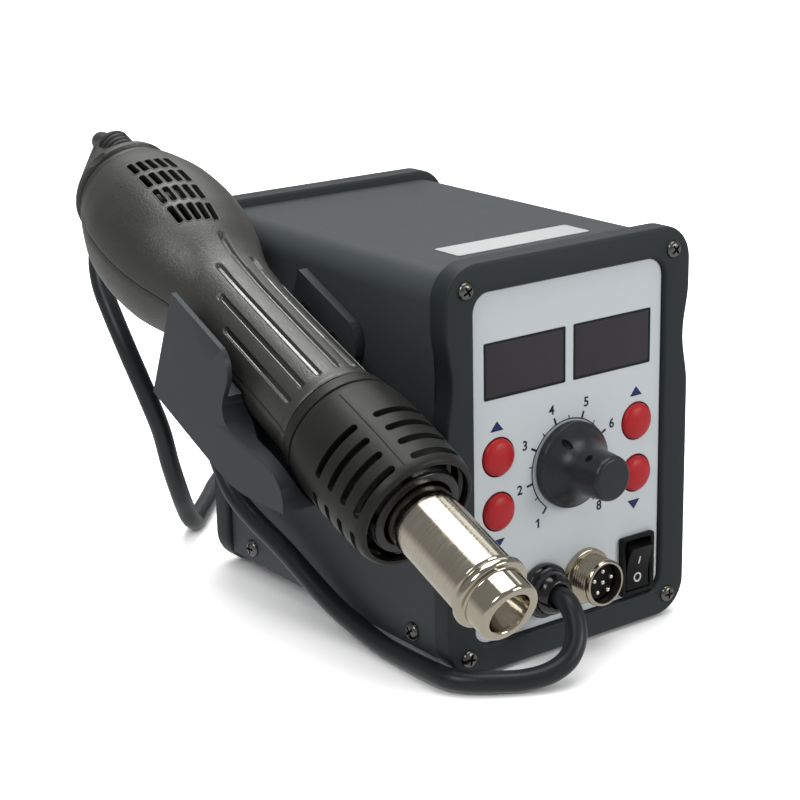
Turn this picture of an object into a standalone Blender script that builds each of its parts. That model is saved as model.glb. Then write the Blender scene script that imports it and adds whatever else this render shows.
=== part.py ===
"""Hot air station: case with controls, side cradle, lift-out hot air handle and its hose cord.

Metres, +Z up, +X to the right along the front, +Y into the depth (the front faces -Y).
All driving sizes below are in millimetres in the case frame: x = 0 on the case's middle
plane, y = 0 on the front label plane, z = 0 at the label's lower edge. The root empty
moves everything so that the object without its cord stands centred on the origin.
"""
import math
import bpy
import bmesh
from mathutils import Vector, Matrix

MM = 0.001

# ---- case frame -> object frame
OFF_X, OFF_Y, OFF_Z = 25.9, -47.745, 11.0

# ---- case
BEZ_HW = 51.5            # bezel half width
BEZ_Z0, BEZ_Z1 = -10.0, 127.3
BEZ_R = 12.0
BEZ_Y0, BEZ_Y1 = -2.0, 6.5
REAR_Y0, REAR_Y1 = 131.5, 140.0
SCALLOP_Z, SCALLOP_HALF, SCALLOP_D = 89.5, 18.0, 2.2
COV_HW, COV_Z1, COV_R, COV_T = 49.5, 124.0, 10.0, 1.2
COV_Y0, COV_Y1 = 6.8, 131.2
BASE_Z0, BASE_Z1 = -4.2, -3.0
FOOT_Z0 = -11.0
LAB_HW, LAB_H, LAB_R = 40.0, 117.0, 6.0
# ---- front controls (x, z) in the label plane
DISP = ((-34.6, -2.45), (2.45, 34.6))
DISP_Z = (82.6, 99.85)
BTN_X, BTN_Z, BTN_R, BTN_PUSH = 29.7, (62.4, 44.0), 6.2, 1.0
KNOB_X, KNOB_Z = 0.0, 54.0
GLAND_X, GLAND_Z = -11.6, 12.7
SOCK_X, SOCK_Z = 7.6, 12.7
ROCK_X, ROCK_Z, ROCK_PIV_Y = 29.8, 11.5, 0.6
SCR_X, SCR_Z = 43.65, (119.2, -2.8)
CSCR_Y = (20.3, 117.7)     # cover screws along the side
HSCR_S, HSCR_H = (118.0, 136.0), 2.0   # cradle screws in the handle frame
# ---- handle: axis in the plane x = AX_X, tilted nose down
AX_X = -77.0
AX_Y, AX_Z = -52.3, 46.7   # the barrel's bead centre (s = 0); s grows toward the tail
AX_TILT = math.radians(23.1)
AX = Vector((0.0, math.cos(AX_TILT), math.sin(AX_TILT)))
UP = Vector((0.0, -math.sin(AX_TILT), math.cos(AX_TILT)))
PROFILE = ((81.0, 18.9), (86.0, 18.0), (130.0, 17.6), (147.0, 18.4),
           (153.0, 19.6), (165.0, 23.6), (174.0, 25.6),
           (184.0, 26.3), (195.0, 25.6), (206.0, 22.6), (217.0, 18.0))
SHELL_T = 2.2
BOOT_H = 10.0
# ---- cradle
CR_X0, CR_X1 = -102.0, -49.8
CR_SLOT = 22.0
# ---- cord
CORD_D = 7.2

COL = bpy.data.collections.new("hot_air_station")
CUT = bpy.data.collections.new("cutters")
MATS = {}
ROOT = None


def start():
    for o in list(bpy.data.objects):
        bpy.data.objects.remove(o, do_unlink=True)
    bpy.context.scene.collection.children.link(COL)
    bpy.context.scene.collection.children.link(CUT)


def mat(name, rgb, rough=0.5, metal=0.0):
    if name not in MATS:
        m = bpy.data.materials.new(name)
        m.use_nodes = True
        b = m.node_tree.nodes["Principled BSDF"]
        b.inputs["Base Color"].default_value = (*rgb, 1.0)
        b.inputs["Roughness"].default_value = rough
        b.inputs["Metallic"].default_value = metal
        m.diffuse_color = (*rgb, 1.0)
        MATS[name] = m
    return MATS[name]


def link(o, material=None, cutter=False):
    (CUT if cutter else COL).objects.link(o)
    o.parent = ROOT
    if cutter:
        o.hide_render = True
        o.display_type = 'WIRE'
    if material:
        o.data.materials.append(material)
    return o


def mesh_obj(name, bm, material=None, cutter=False, smooth=True):
    bm.normal_update()
    bmesh.ops.recalc_face_normals(bm, faces=bm.faces[:])
    me = bpy.data.meshes.new(name)
    bm.to_mesh(me)
    bm.free()
    if smooth:
        me.shade_smooth()
        me.set_sharp_from_angle(angle=math.radians(35))
    return link(bpy.data.objects.new(name, me), material, cutter)


def set_origin(o, point_mm):
    """Put the object's origin on a joint point without moving its shape."""
    p = Vector(point_mm) * MM
    delta = o.matrix_basis.inverted() @ p
    o.data.transform(Matrix.Translation(-delta))
    o.location = p
    return o


def flat(name, loops, axis, a, b, material=None, cutter=False):
    """Flat outline in the two other axes (first loop outside, others holes): a filled 2D curve
    extruded by half its thickness, made a mesh so that it can be cut."""
    cu = bpy.data.curves.new(name, 'CURVE')
    cu.dimensions = '2D'
    cu.fill_mode = 'BOTH'
    cu.extrude = abs(b - a) / 2 * MM
    for pts in loops:
        sp = cu.splines.new('POLY')
        sp.points.add(len(pts) - 1)
        for q, p in zip(sp.points, pts):
            q.co = (p[0] * MM, p[1] * MM, 0.0, 1.0)
        sp.use_cyclic_u = True
    tmp = bpy.data.objects.new(name + "_curve", cu)
    bpy.context.scene.collection.objects.link(tmp)
    me = bpy.data.meshes.new_from_object(tmp.evaluated_get(bpy.context.evaluated_depsgraph_get()))
    bpy.data.objects.remove(tmp, do_unlink=True)
    bm = bmesh.new()
    bm.from_mesh(me)
    bpy.data.meshes.remove(me)
    bmesh.ops.remove_doubles(bm, verts=bm.verts[:], dist=1e-6)
    mid = (a + b) / 2 * MM
    turn = {'X': Matrix(((0, 0, 1, mid), (1, 0, 0, 0), (0, 1, 0, 0), (0, 0, 0, 1))),
            'Y': Matrix(((1, 0, 0, 0), (0, 0, -1, mid), (0, 1, 0, 0), (0, 0, 0, 1))),
            'Z': Matrix(((1, 0, 0, 0), (0, 1, 0, 0), (0, 0, 1, mid), (0, 0, 0, 1)))}[axis]
    bm.transform(turn)
    return mesh_obj(name, bm, material, cutter)


def cube(name, x0, x1, y0, y1, z0, z1, material=None, cutter=False):
    bm = bmesh.new()
    add_cube(bm, x0, x1, y0, y1, z0, z1)
    return mesh_obj(name, bm, material, cutter, False)


def add_cube(bm, x0, x1, y0, y1, z0, z1):
    m = Matrix.Translation(Vector((x0 + x1, y0 + y1, z0 + z1)) * MM / 2) @ Matrix.Diagonal((abs(x1 - x0) * MM, abs(y1 - y0) * MM, abs(z1 - z0) * MM, 1.0))
    bmesh.ops.create_cube(bm, size=1.0, matrix=m)


def add_cyl(bm, axis, c, r, a, b, n=20):
    """Round bar of radius r along axis from a to b; c is its centre in the two other axes."""
    mid = (a + b) / 2
    if axis == 'X':
        m = Matrix.Translation(Vector((mid, c[0], c[1])) * MM) @ Matrix.Rotation(math.radians(90), 4, 'Y')
    elif axis == 'Y':
        m = Matrix.Translation(Vector((c[0], mid, c[1])) * MM) @ Matrix.Rotation(math.radians(-90), 4, 'X')
    else:
        m = Matrix.Translation(Vector((c[0], c[1], mid)) * MM)
    bmesh.ops.create_cone(bm, cap_ends=True, segments=n, radius1=r * MM, radius2=r * MM, depth=abs(b - a) * MM, matrix=m)


def bars(name, items):
    """One cutter made of cylinders and cubes: ('c', axis, centre, r, a, b, n) or ('b', x0, x1, y0, y1, z0, z1)."""
    bm = bmesh.new()
    for it in items:
        if it[0] == 'c':
            add_cyl(bm, *it[1:])
        else:
            add_cube(bm, *it[1:])
    return mesh_obj(name, bm, None, True, False)


def turned(name, prof, origin, rotation, material=None, n=24, cutter=False, angle=360.0, closed=None):
    """Turned shape: profile of (r, t) points with a Screw modifier about the local Z axis."""
    pts = list(prof)
    area = sum(p[0] * q[1] - q[0] * p[1] for p, q in zip(pts, pts[1:] + pts[:1]))
    if area > 0:
        pts.reverse()
    if closed is None:
        on = [i for i, p in enumerate(pts) if p[0] <= 1e-9]
        closed = not on
        if on:
            # start the open profile on the axis
            k = next(i for i in range(len(pts)) if pts[i][0] <= 1e-9 and pts[i - 1][0] <= 1e-9)
            pts = pts[k:] + pts[:k]
    bm = bmesh.new()
    vs = [bm.verts.new((r * MM, 0.0, t * MM)) for r, t in pts]
    for p, q in zip(vs[:-1], vs[1:]):
        bm.edges.new((p, q))
    if closed:
        bm.edges.new((vs[-1], vs[0]))
    me = bpy.data.meshes.new(name)
    bm.to_mesh(me)
    bm.free()
    o = link(bpy.data.objects.new(name, me), material, cutter)
    o.location = Vector(origin) * MM
    o.rotation_euler = rotation
    m = o.modifiers.new("turn", 'SCREW')
    m.axis = 'Z'
    m.angle = math.radians(angle)
    m.steps = n
    m.render_steps = n
    m.use_merge_vertices = True
    m.merge_threshold = 1e-6
    m.use_smooth_shade = True
    return o


def turn_y(name, cx, cz, prof, material=None, n=24, cutter=False):
    """Turned about a line along Y through (cx, cz); t is y."""
    return turned(name, prof, (cx, 0.0, cz), (math.radians(-90), 0.0, 0.0), material, n, cutter)


def on_axis(s, u=0.0, h=0.0):
    """Point of the handle frame: s along the axis, u to the right (+X), h up across the axis."""
    p = Vector((AX_X + u, AX_Y, AX_Z)) + AX * s + UP * h
    return (p.x, p.y, p.z)


AX_ROT = (AX_TILT - math.radians(90), 0.0, 0.0)


def turn_s(name, prof, material=None, n=28, h=0.0, cutter=False):
    """Turned about the handle axis, or a line h above it; t is s."""
    return turned(name, prof, on_axis(0.0, 0.0, h), AX_ROT, material, n, cutter)


def axis_matrix():
    """Local (away from the case, up across the axis, along the axis) to the case frame, metres."""
    o = Vector(on_axis(0.0)) * MM
    return Matrix(((-1, UP.x, AX.x, o.x), (0, UP.y, AX.y, o.y), (0, UP.z, AX.z, o.z), (0, 0, 0, 1)))


def boolean(o, other, op='DIFFERENCE'):
    m = o.modifiers.new(op.lower() + "_" + other.name, 'BOOLEAN')
    m.operation = op
    m.solver = 'EXACT'
    m.object = other
    return m


def cut(o, *cutters):
    for c in cutters:
        boolean(o, c)


def rect(x0, x1, z0, z1):
    return [(x0, z0), (x1, z0), (x1, z1), (x0, z1)]


def rrect(x0, x1, z0, z1, r, n=5):
    out = []
    for cx, cz, a0 in ((x1 - r, z0 + r, -90), (x1 - r, z1 - r, 0), (x0 + r, z1 - r, 90), (x0 + r, z0 + r, 180)):
        for i in range(n + 1):
            a = math.radians(a0 + 90.0 * i / n)
            out.append((cx + r * math.cos(a), cz + r * math.sin(a)))
    return out


def circle(cx, cz, r, n=24, a0=0.0):
    return [(cx + r * math.cos(a0 + 2 * math.pi * i / n), cz + r * math.sin(a0 + 2 * math.pi * i / n)) for i in range(n)]


# ------------------------------------------------------------------ outline helpers
def scallop(z):
    d = abs(z - SCALLOP_Z)
    if d >= SCALLOP_HALF:
        return 0.0
    return SCALLOP_D * math.cos(0.5 * math.pi * d / SCALLOP_HALF) ** 2


def bezel_outline(n_arc=6, n_side=10):
    hw, r = BEZ_HW, BEZ_R
    side = [SCALLOP_Z - SCALLOP_HALF + 2 * SCALLOP_HALF * i / n_side for i in range(n_side + 1)]
    pts = []
    for i in range(n_arc + 1):
        a = math.radians(-90 + 90.0 * i / n_arc)
        pts.append((hw - r + r * math.cos(a), BEZ_Z0 + r + r * math.sin(a)))
    pts += [(hw - scallop(z), z) for z in side]
    for i in range(n_arc + 1):
        a = math.radians(90.0 * i / n_arc)
        pts.append((hw - r + r * math.cos(a), BEZ_Z1 - r + r * math.sin(a)))
    return pts + [(-x, z) for x, z in reversed(pts)]


def radius(s):
    if s <= PROFILE[0][0]:
        return PROFILE[0][1]
    for (s0, r0), (s1, r1) in zip(PROFILE[:-1], PROFILE[1:]):
        if s <= s1:
            return r0 + (r1 - r0) * (s - s0) / (s1 - s0)
    return PROFILE[-1][1]


# ------------------------------------------------------------------ case
def build_case():
    black = mat("black_plastic", (0.035, 0.037, 0.038), 0.55)
    grey = mat("grey_paint", (0.045, 0.049, 0.05), 0.6)
    steel = mat("screw_steel", (0.35, 0.35, 0.34), 0.35, 1.0)
    rubber = mat("rubber", (0.02, 0.02, 0.02), 0.8)
    label = mat("label_film", (0.50, 0.55, 0.58), 0.45)
    white = mat("sticker_paper", (0.75, 0.75, 0.74), 0.6)

    # front bezel: recess for the label, cavity behind, holes for the controls
    fb = flat("front_bezel", [bezel_outline()], 'Y', BEZ_Y0, BEZ_Y1, black)
    recess = flat("cut_label_recess", [rrect(-LAB_HW - 0.3, LAB_HW + 0.3, -0.3, LAB_H + 0.3, LAB_R + 0.3)], 'Y', BEZ_Y0 - 1, 0.3, None, True)
    cavity = flat("cut_bezel_cavity", [rrect(-46.0, 46.0, -4.5, 122.0, 8.0)], 'Y', 3.3, BEZ_Y1 + 1, None, True)
    items = [('b', x0 - 0.25, x1 + 0.25, -3, 5, DISP_Z[0] - 0.25, DISP_Z[1] + 0.25) for x0, x1 in DISP]
    items += [('c', 'Y', (sx * BTN_X, z), BTN_R + 0.5, -3, 5, 16) for sx in (-1, 1) for z in BTN_Z]
    items += [('c', 'Y', (KNOB_X, KNOB_Z), 4.6, -3, 5, 16), ('c', 'Y', (GLAND_X, GLAND_Z), 6.7, -3, 5, 16),
              ('c', 'Y', (SOCK_X, SOCK_Z), 8.1, -3, 5, 20), ('b', ROCK_X - 6.8, ROCK_X + 6.8, -3, 5, ROCK_Z - 9.8, ROCK_Z + 9.8)]
    controls = bars("cut_controls", items)
    screw_holes = bars("cut_front_screws", [('c', 'Y', (sx * SCR_X, z), 1.8, -4, 8, 12) for sx in (-1, 1) for z in SCR_Z])
    cut(fb, recess, cavity, controls, screw_holes)

    fl = flat("front_label", [rrect(-LAB_HW, LAB_HW, 0.0, LAB_H, LAB_R)], 'Y', -0.2, 0.0, label)
    cut(fl, controls)

    # rear bezel with its own wall and the mains inlet hole
    rb = flat("rear_bezel", [bezel_outline()], 'Y', REAR_Y0, REAR_Y1, black)
    rrec = flat("cut_rear_recess", [rrect(-41.0, 41.0, -1.0, LAB_H + 1.0, LAB_R)], 'Y', 138.2, REAR_Y1 + 1, None, True)
    rcav = flat("cut_rear_cavity", [rrect(-46.0, 46.0, -4.5, 122.0, 8.0)], 'Y', REAR_Y0 - 1, 135.2, None, True)
    cut(rb, rrec, rcav, bars("cut_rear_holes", [('b', -13.9, 13.9, 133, 142, 14.1, 34.9)]
                             + [('c', 'Y', (sx * SCR_X, z), 1.8, 130, 142, 12) for sx in (-1, 1) for z in SCR_Z]))

    # cover: folded sheet, round top edges, open below
    def cover_path(inset):
        hw, z1, r = COV_HW - inset, COV_Z1 - inset, COV_R - inset
        pts = [(hw, BASE_Z0)]
        for i in range(7):
            a = math.radians(90.0 * i / 6)
            pts.append((hw - r + r * math.cos(a), z1 - r + r * math.sin(a)))
        return pts + [(-x, z) for x, z in reversed(pts)]
    cover = flat("case_cover", [cover_path(0.0) + list(reversed(cover_path(COV_T)))], 'Y', COV_Y0, COV_Y1, grey)
    side = [('c', 'X', (y, 1.1), 1.8, sx * 45.0, sx * 51.0, 12) for sx in (-1, 1) for y in CSCR_Y]
    side += [('c', 'X', on_axis(s, 0.0, HSCR_H)[1:], 1.9, -57.0, -46.0, 12) for s in HSCR_S]
    side_holes = bars("cut_side_holes", side)
    cut(cover, side_holes)

    # base plate with two turned-up flanges
    w = 47.9
    base = flat("base_plate", [[(-w, BASE_Z0), (w, BASE_Z0), (w, 6.0), (w - 1.2, 6.0), (w - 1.2, BASE_Z1), (-w + 1.2, BASE_Z1), (-w + 1.2, 6.0), (-w, 6.0)]],
                'Y', 7.0, 131.0, grey)
    cut(base, side_holes)

    for i, (x, y) in enumerate(((-36, 20), (36, 20), (-36, 118), (36, 118))):
        turned("foot_%d" % (i + 1), [(0, BASE_Z0 - 0.3), (5.4, BASE_Z0 - 0.3), (4.6, FOOT_Z0), (0, FOOT_Z0)], (x, y, 0.0), (0.0, 0.0, 0.0), rubber, 14)

    # screws: pan heads with a plain shank
    k = 0
    for sx in (-1, 1):
        for z in SCR_Z:
            k += 1
            turn_y("front_screw_%d" % k, sx * SCR_X, z, [(0, -3.7), (2.2, -3.5), (3.2, -2.3), (1.4, -2.3), (1.4, 6.4), (0, 6.4)], steel, 10)
            turn_y("rear_screw_%d" % k, sx * SCR_X, z, [(0, 141.7), (2.2, 141.5), (3.2, 140.3), (1.4, 140.3), (1.4, 131.8), (0, 131.8)], steel, 10)
    k = 0
    for sx in (-1, 1):
        for y in CSCR_Y:
            k += 1
            turned("cover_screw_%d" % k, [(0, 51.5), (2.2, 51.3), (3.3, 49.8), (1.4, 49.8), (1.4, 43.0), (0, 43.0)],
                   (0.0, y, 1.1), (0.0, math.radians(90 * sx), 0.0), steel, 10)

    cube("top_sticker", -29.0, 26.6, 20.0, 32.8, COV_Z1 + 0.3, COV_Z1 + 0.5, white)


# ------------------------------------------------------------------ front controls and insides
def build_controls():
    black = mat("control_black", (0.02, 0.02, 0.021), 0.4)
    smoke = mat("smoke_window", (0.055, 0.05, 0.056), 0.25)
    red = mat("red_button", (0.42, 0.035, 0.04), 0.45)
    board = mat("board_green", (0.02, 0.12, 0.05), 0.5)
    nickel = mat("nickel", (0.55, 0.52, 0.47), 0.3, 1.0)
    led = mat("led_body", (0.08, 0.08, 0.085), 0.6)

    for i, (x0, x1) in enumerate(DISP):
        side = ("left", "right")[i]
        flat("display_window_" + side, [rrect(x0 + 0.05, x1 - 0.05, DISP_Z[0] + 0.05, DISP_Z[1] - 0.05, 1.0, 2)], 'Y', -0.15, 3.0, smoke)
        cube("led_module_" + side, x0 + 1, x1 - 1, 3.7, 11.4, DISP_Z[0] + 0.5, DISP_Z[1] - 0.5, led)

    for sx in (-1, 1):
        for z in BTN_Z:
            r = BTN_R
            turn_y("button_%s_%s" % ("left" if sx < 0 else "right", "up" if z > 50 else "down"), sx * BTN_X, z,
                   [(0, -2.6), (4.2, -2.1), (r, -0.7), (r, 3.75), (7.4, 3.75), (7.4, 4.8), (2.0, 4.8), (2.0, 8.6), (0, 8.6)], red, 18)

    # board: one plate with the four switch bodies soldered on and a round gap for the potentiometer
    pcb = cube("control_board", -42.0, 42.0, 12.0, 13.6, 30.0, 116.0, board)
    boolean(pcb, bars("add_switches", [('b', sx * BTN_X - 3, sx * BTN_X + 3, 10.0, 12.5, z - 3, z + 3) for sx in (-1, 1) for z in BTN_Z]), 'UNION')
    cut(pcb, bars("cut_pot", [('c', 'Y', (KNOB_X, KNOB_Z), 9.0, 11, 15, 20)]))

    # potentiometer: body with hollow bushing, nut, turning shaft, knob
    turn_y("potentiometer", KNOB_X, KNOB_Z, [(3.5, -3.4), (4.2, -3.4), (4.2, 4.2), (8.5, 4.2), (8.5, 11.8), (0, 11.8), (0, 5.5), (3.5, 5.5)], nickel, 16)
    flat("pot_nut", [circle(KNOB_X, KNOB_Z, 6.0, 6), circle(KNOB_X, KNOB_Z, 4.5, 16)], 'Y', -2.6, -0.5, nickel)
    turn_y("potentiometer_shaft", KNOB_X, KNOB_Z, [(0, -15.0), (3.0, -15.0), (3.0, 5.1), (0, 5.1)], nickel, 16)
    turn_y("air_knob", KNOB_X, KNOB_Z,
           [(0, -22.0), (6.9, -22.0), (7.7, -21.2), (8.4, -11.5), (9.6, -8.6), (12.6, -5.2), (14.2, -3.6), (14.6, -2.6), (14.6, -0.8),
            (6.6, -0.8), (6.6, -3.9), (3.4, -3.9), (3.4, -15.4), (0, -15.4)], black, 26)

    # hose gland and its nut
    turn_y("hose_gland", GLAND_X, GLAND_Z, [(4.3, -10.0), (5.8, -10.0), (7.2, -8.6), (7.8, -5.5), (9.2, -3.6), (9.2, -0.6), (6.2, -0.6), (6.2, 9.0), (4.3, 9.0)], black, 20)
    flat("gland_nut", [circle(GLAND_X, GLAND_Z, 8.6, 6), circle(GLAND_X, GLAND_Z, 6.6, 20)], 'Y', 3.7, 7.2, black)

    # iron socket: threaded shell, insert with pins, nut
    thread = [(9.2, -0.6), (9.2, -2.3), (8.0, -2.3)]
    thread += [(8.0, -9.9), (7.6, -10.6), (6.8, -10.6), (6.8, 8.0), (7.5, 8.0), (7.5, -0.6)]
    turn_y("iron_socket", SOCK_X, SOCK_Z, thread, nickel, 24)
    flat("socket_nut", [circle(SOCK_X, SOCK_Z, 9.3, 6), circle(SOCK_X, SOCK_Z, 7.85, 24)], 'Y', 3.7, 6.2, nickel)
    ins = turn_y("socket_insert", SOCK_X, SOCK_Z, [(0, -3.4), (6.4, -3.4), (6.4, 6.0), (0, 6.0)], black, 20)
    pins = [('c', 'Y', (SOCK_X + 3.9 * math.cos(math.radians(90 + 72 * i)), SOCK_Z + 3.9 * math.sin(math.radians(90 + 72 * i))), 0.75, -5.8, -2.0, 8) for i in range(5)]
    boolean(ins, bars("add_socket_pins", pins + [('c', 'Y', (SOCK_X, SOCK_Z), 0.75, -5.8, -2.0, 8)]), 'UNION')

    # rocker switch: frame with pocket, tilting rocker (its top end stands out = off)
    fr = flat("rocker_frame", [rrect(ROCK_X - 7.5, ROCK_X + 7.5, ROCK_Z - 10.6, ROCK_Z + 10.6, 1.0, 2)], 'Y', -1.9, -0.5, black)
    boolean(fr, bars("add_rocker_body", [('b', ROCK_X - 6.5, ROCK_X + 6.5, -0.9, 13.0, ROCK_Z - 9.5, ROCK_Z + 9.5)]), 'UNION')
    cut(fr, bars("cut_rocker_pocket", [('b', ROCK_X - 5.4, ROCK_X + 5.4, -3.0, 8.0, ROCK_Z - 9.0, ROCK_Z + 9.0)]))
    tilt = math.radians(10.0)
    raw = [(8.0, -4.2), (5.0, -3.35), (0.0, -2.9), (-5.0, -3.35), (-8.0, -4.2), (-7.6, 0.9), (-5.0, 3.2), (0.0, 4.2), (5.0, 3.2), (7.6, 0.9)]
    pts = [(ROCK_PIV_Y + y * math.cos(tilt) - z * math.sin(tilt), ROCK_Z + z * math.cos(tilt) + y * math.sin(tilt)) for z, y in raw]
    set_origin(flat("rocker", [pts], 'X', ROCK_X - 5.1, ROCK_X + 5.1, black), (ROCK_X, ROCK_PIV_Y, ROCK_Z))

    # mains inlet at the back: flange, body and an open mouth with three blades
    mi = flat("mains_inlet", [rrect(-16.5, 16.5, 12.0, 37.0, 3.0, 3)], 'Y', 138.5, 140.5, black)
    boolean(mi, bars("add_inlet_body", [('b', -13.5, 13.5, 116.0, 139.0, 14.5, 34.5)]), 'UNION')
    cut(mi, bars("cut_inlet_mouth", [('b', -12.0, 12.0, 121.0, 142.0, 16.5, 32.5)]))
    boolean(mi, bars("add_inlet_blades", [('b', x - 1.0, x + 1.0, 119.0, 134.0, z - 2.0, z + 2.0) for x, z in ((-7.0, 21.5), (7.0, 21.5), (0.0, 27.5))]), 'UNION')

    # transformer: three-legged core with the coil on the middle leg, standing on the base
    iron = mat("core_iron", (0.12, 0.12, 0.13), 0.5, 0.6)
    copper = mat("coil_tape", (0.45, 0.32, 0.06), 0.5)
    flat("transformer_core", [rect(-26.0, 30.0, BASE_Z1 + 0.3, 41.5), rect(-17.0, -7.5, 4.0, 32.0), rect(11.5, 21.0, 4.0, 32.0)], 'Y', 62.0, 84.0, iron)
    flat("transformer_coil", [rect(-16.6, 20.6, 56.0, 90.0), rect(-7.9, 11.9, 61.6, 84.4)], 'Z', 4.4, 31.6, copper)


# ------------------------------------------------------------------ cradle
def build_cradle():
    black = mat("cradle_plastic", (0.04, 0.042, 0.044), 0.55)
    steel = mat("screw_steel", (0.35, 0.35, 0.34), 0.35, 1.0)
    outline = [(75.5, 113.7), (47.2, 101.4), (45.0, 99.2), (43.6, 96.0), (43.6, 91.5), (46.4, 86.5), (47.9, 81.5), (46.4, 77.2),
               (41.5, 74.2), (34.0, 72.8), (27.4, 71.4), (21.0, 68.4), (16.6, 64.6), (14.8, 60.5), (14.6, 56.0), (30.0, 55.8),
               (40.7, 56.6), (52.4, 60.2), (90.9, 77.3)]
    o = flat("handle_holder", [outline], 'X', CR_X0, CR_X1, black)
    # slot for the handle: seat following the grip below, straight walls above
    seat = [(0, 40.0), (CR_SLOT, 40.0), (CR_SLOT, 92.0), (20.0, 98.0), (radius(104) + 0.4, 104.0), (radius(130) + 0.4, 130.0),
            (radius(147) + 0.5, 147.0), (radius(152) + 0.9, 152.0), (24.0, 160.0), (24.0, 175.0), (0, 175.0)]
    c1 = turn_s("cut_seat", seat, None, 32, 0.0, True)
    bm = bmesh.new()
    add_cube(bm, -CR_SLOT, CR_SLOT, -3.0, 45.0, 40.0, 170.0)
    bm.transform(axis_matrix())
    c2 = mesh_obj("cut_slot", bm, None, True, False)
    at = [on_axis(s, 0.0, HSCR_H) for s in HSCR_S]
    # screwed on from inside the case, into blind holes
    c3 = bars("cut_holder_screws", [('c', 'X', p[1:], 1.9, -54.4, -49.0, 12) for p in at])
    cut(o, c1, c2, c3)
    for i, p in enumerate(at):
        turned("holder_screw_%d" % (i + 1), [(0, 54.0), (1.5, 54.0), (1.5, 48.0), (3.4, 48.0), (2.4, 46.4), (0, 46.2)],
               (0.0, p[1], p[2]), (0.0, math.radians(-90), 0.0), steel, 10)


# ------------------------------------------------------------------ handle
def half_shell(name, sign, material):
    """Half of the grip: the profile turned through half a circle, thickened inwards."""
    prof = sorted(PROFILE, reverse=True)
    o = turned(name, [(r, s) for s, r in prof], on_axis(0.0, 0.0, 0.3 * sign), AX_ROT, material, 14, False, 180.0, False)
    # the profile starts on the +X side; turn it so that the half lies above or below
    o.data.transform(Matrix.Rotation(math.pi if sign > 0 else 0.0, 4, 'Z'))
    m = o.modifiers.new("wall", 'SOLIDIFY')
    m.thickness = SHELL_T * MM
    m.offset = -1.0
    m.use_even_offset = False
    return o


def vent_at(row, col):
    """Middle of an air slot: place along the axis and angle from the top, toward the outer side."""
    return 170.0 + 9.6 * row - 0.9 * col, 25.5 - 7.0 * col


def cap_shell(name, rings, material, n=24):
    """Shell through circles (s, h, r) that run out along the outside and back along the inside."""
    bm = bmesh.new()
    loops = []
    for s, h, r in rings:
        loops.append([bm.verts.new((r * math.cos(2 * math.pi * k / n) * MM, (h + r * math.sin(2 * math.pi * k / n)) * MM, s * MM)) for k in range(n)])
    for a, b in zip(loops, loops[1:] + loops[:1]):
        for k in range(n):
            bm.faces.new((a[k], a[(k + 1) % n], b[(k + 1) % n], b[k]))
    bm.transform(axis_matrix())
    bmesh.ops.recalc_face_normals(bm, faces=bm.faces[:])
    return mesh_obj(name, bm, material)


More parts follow.
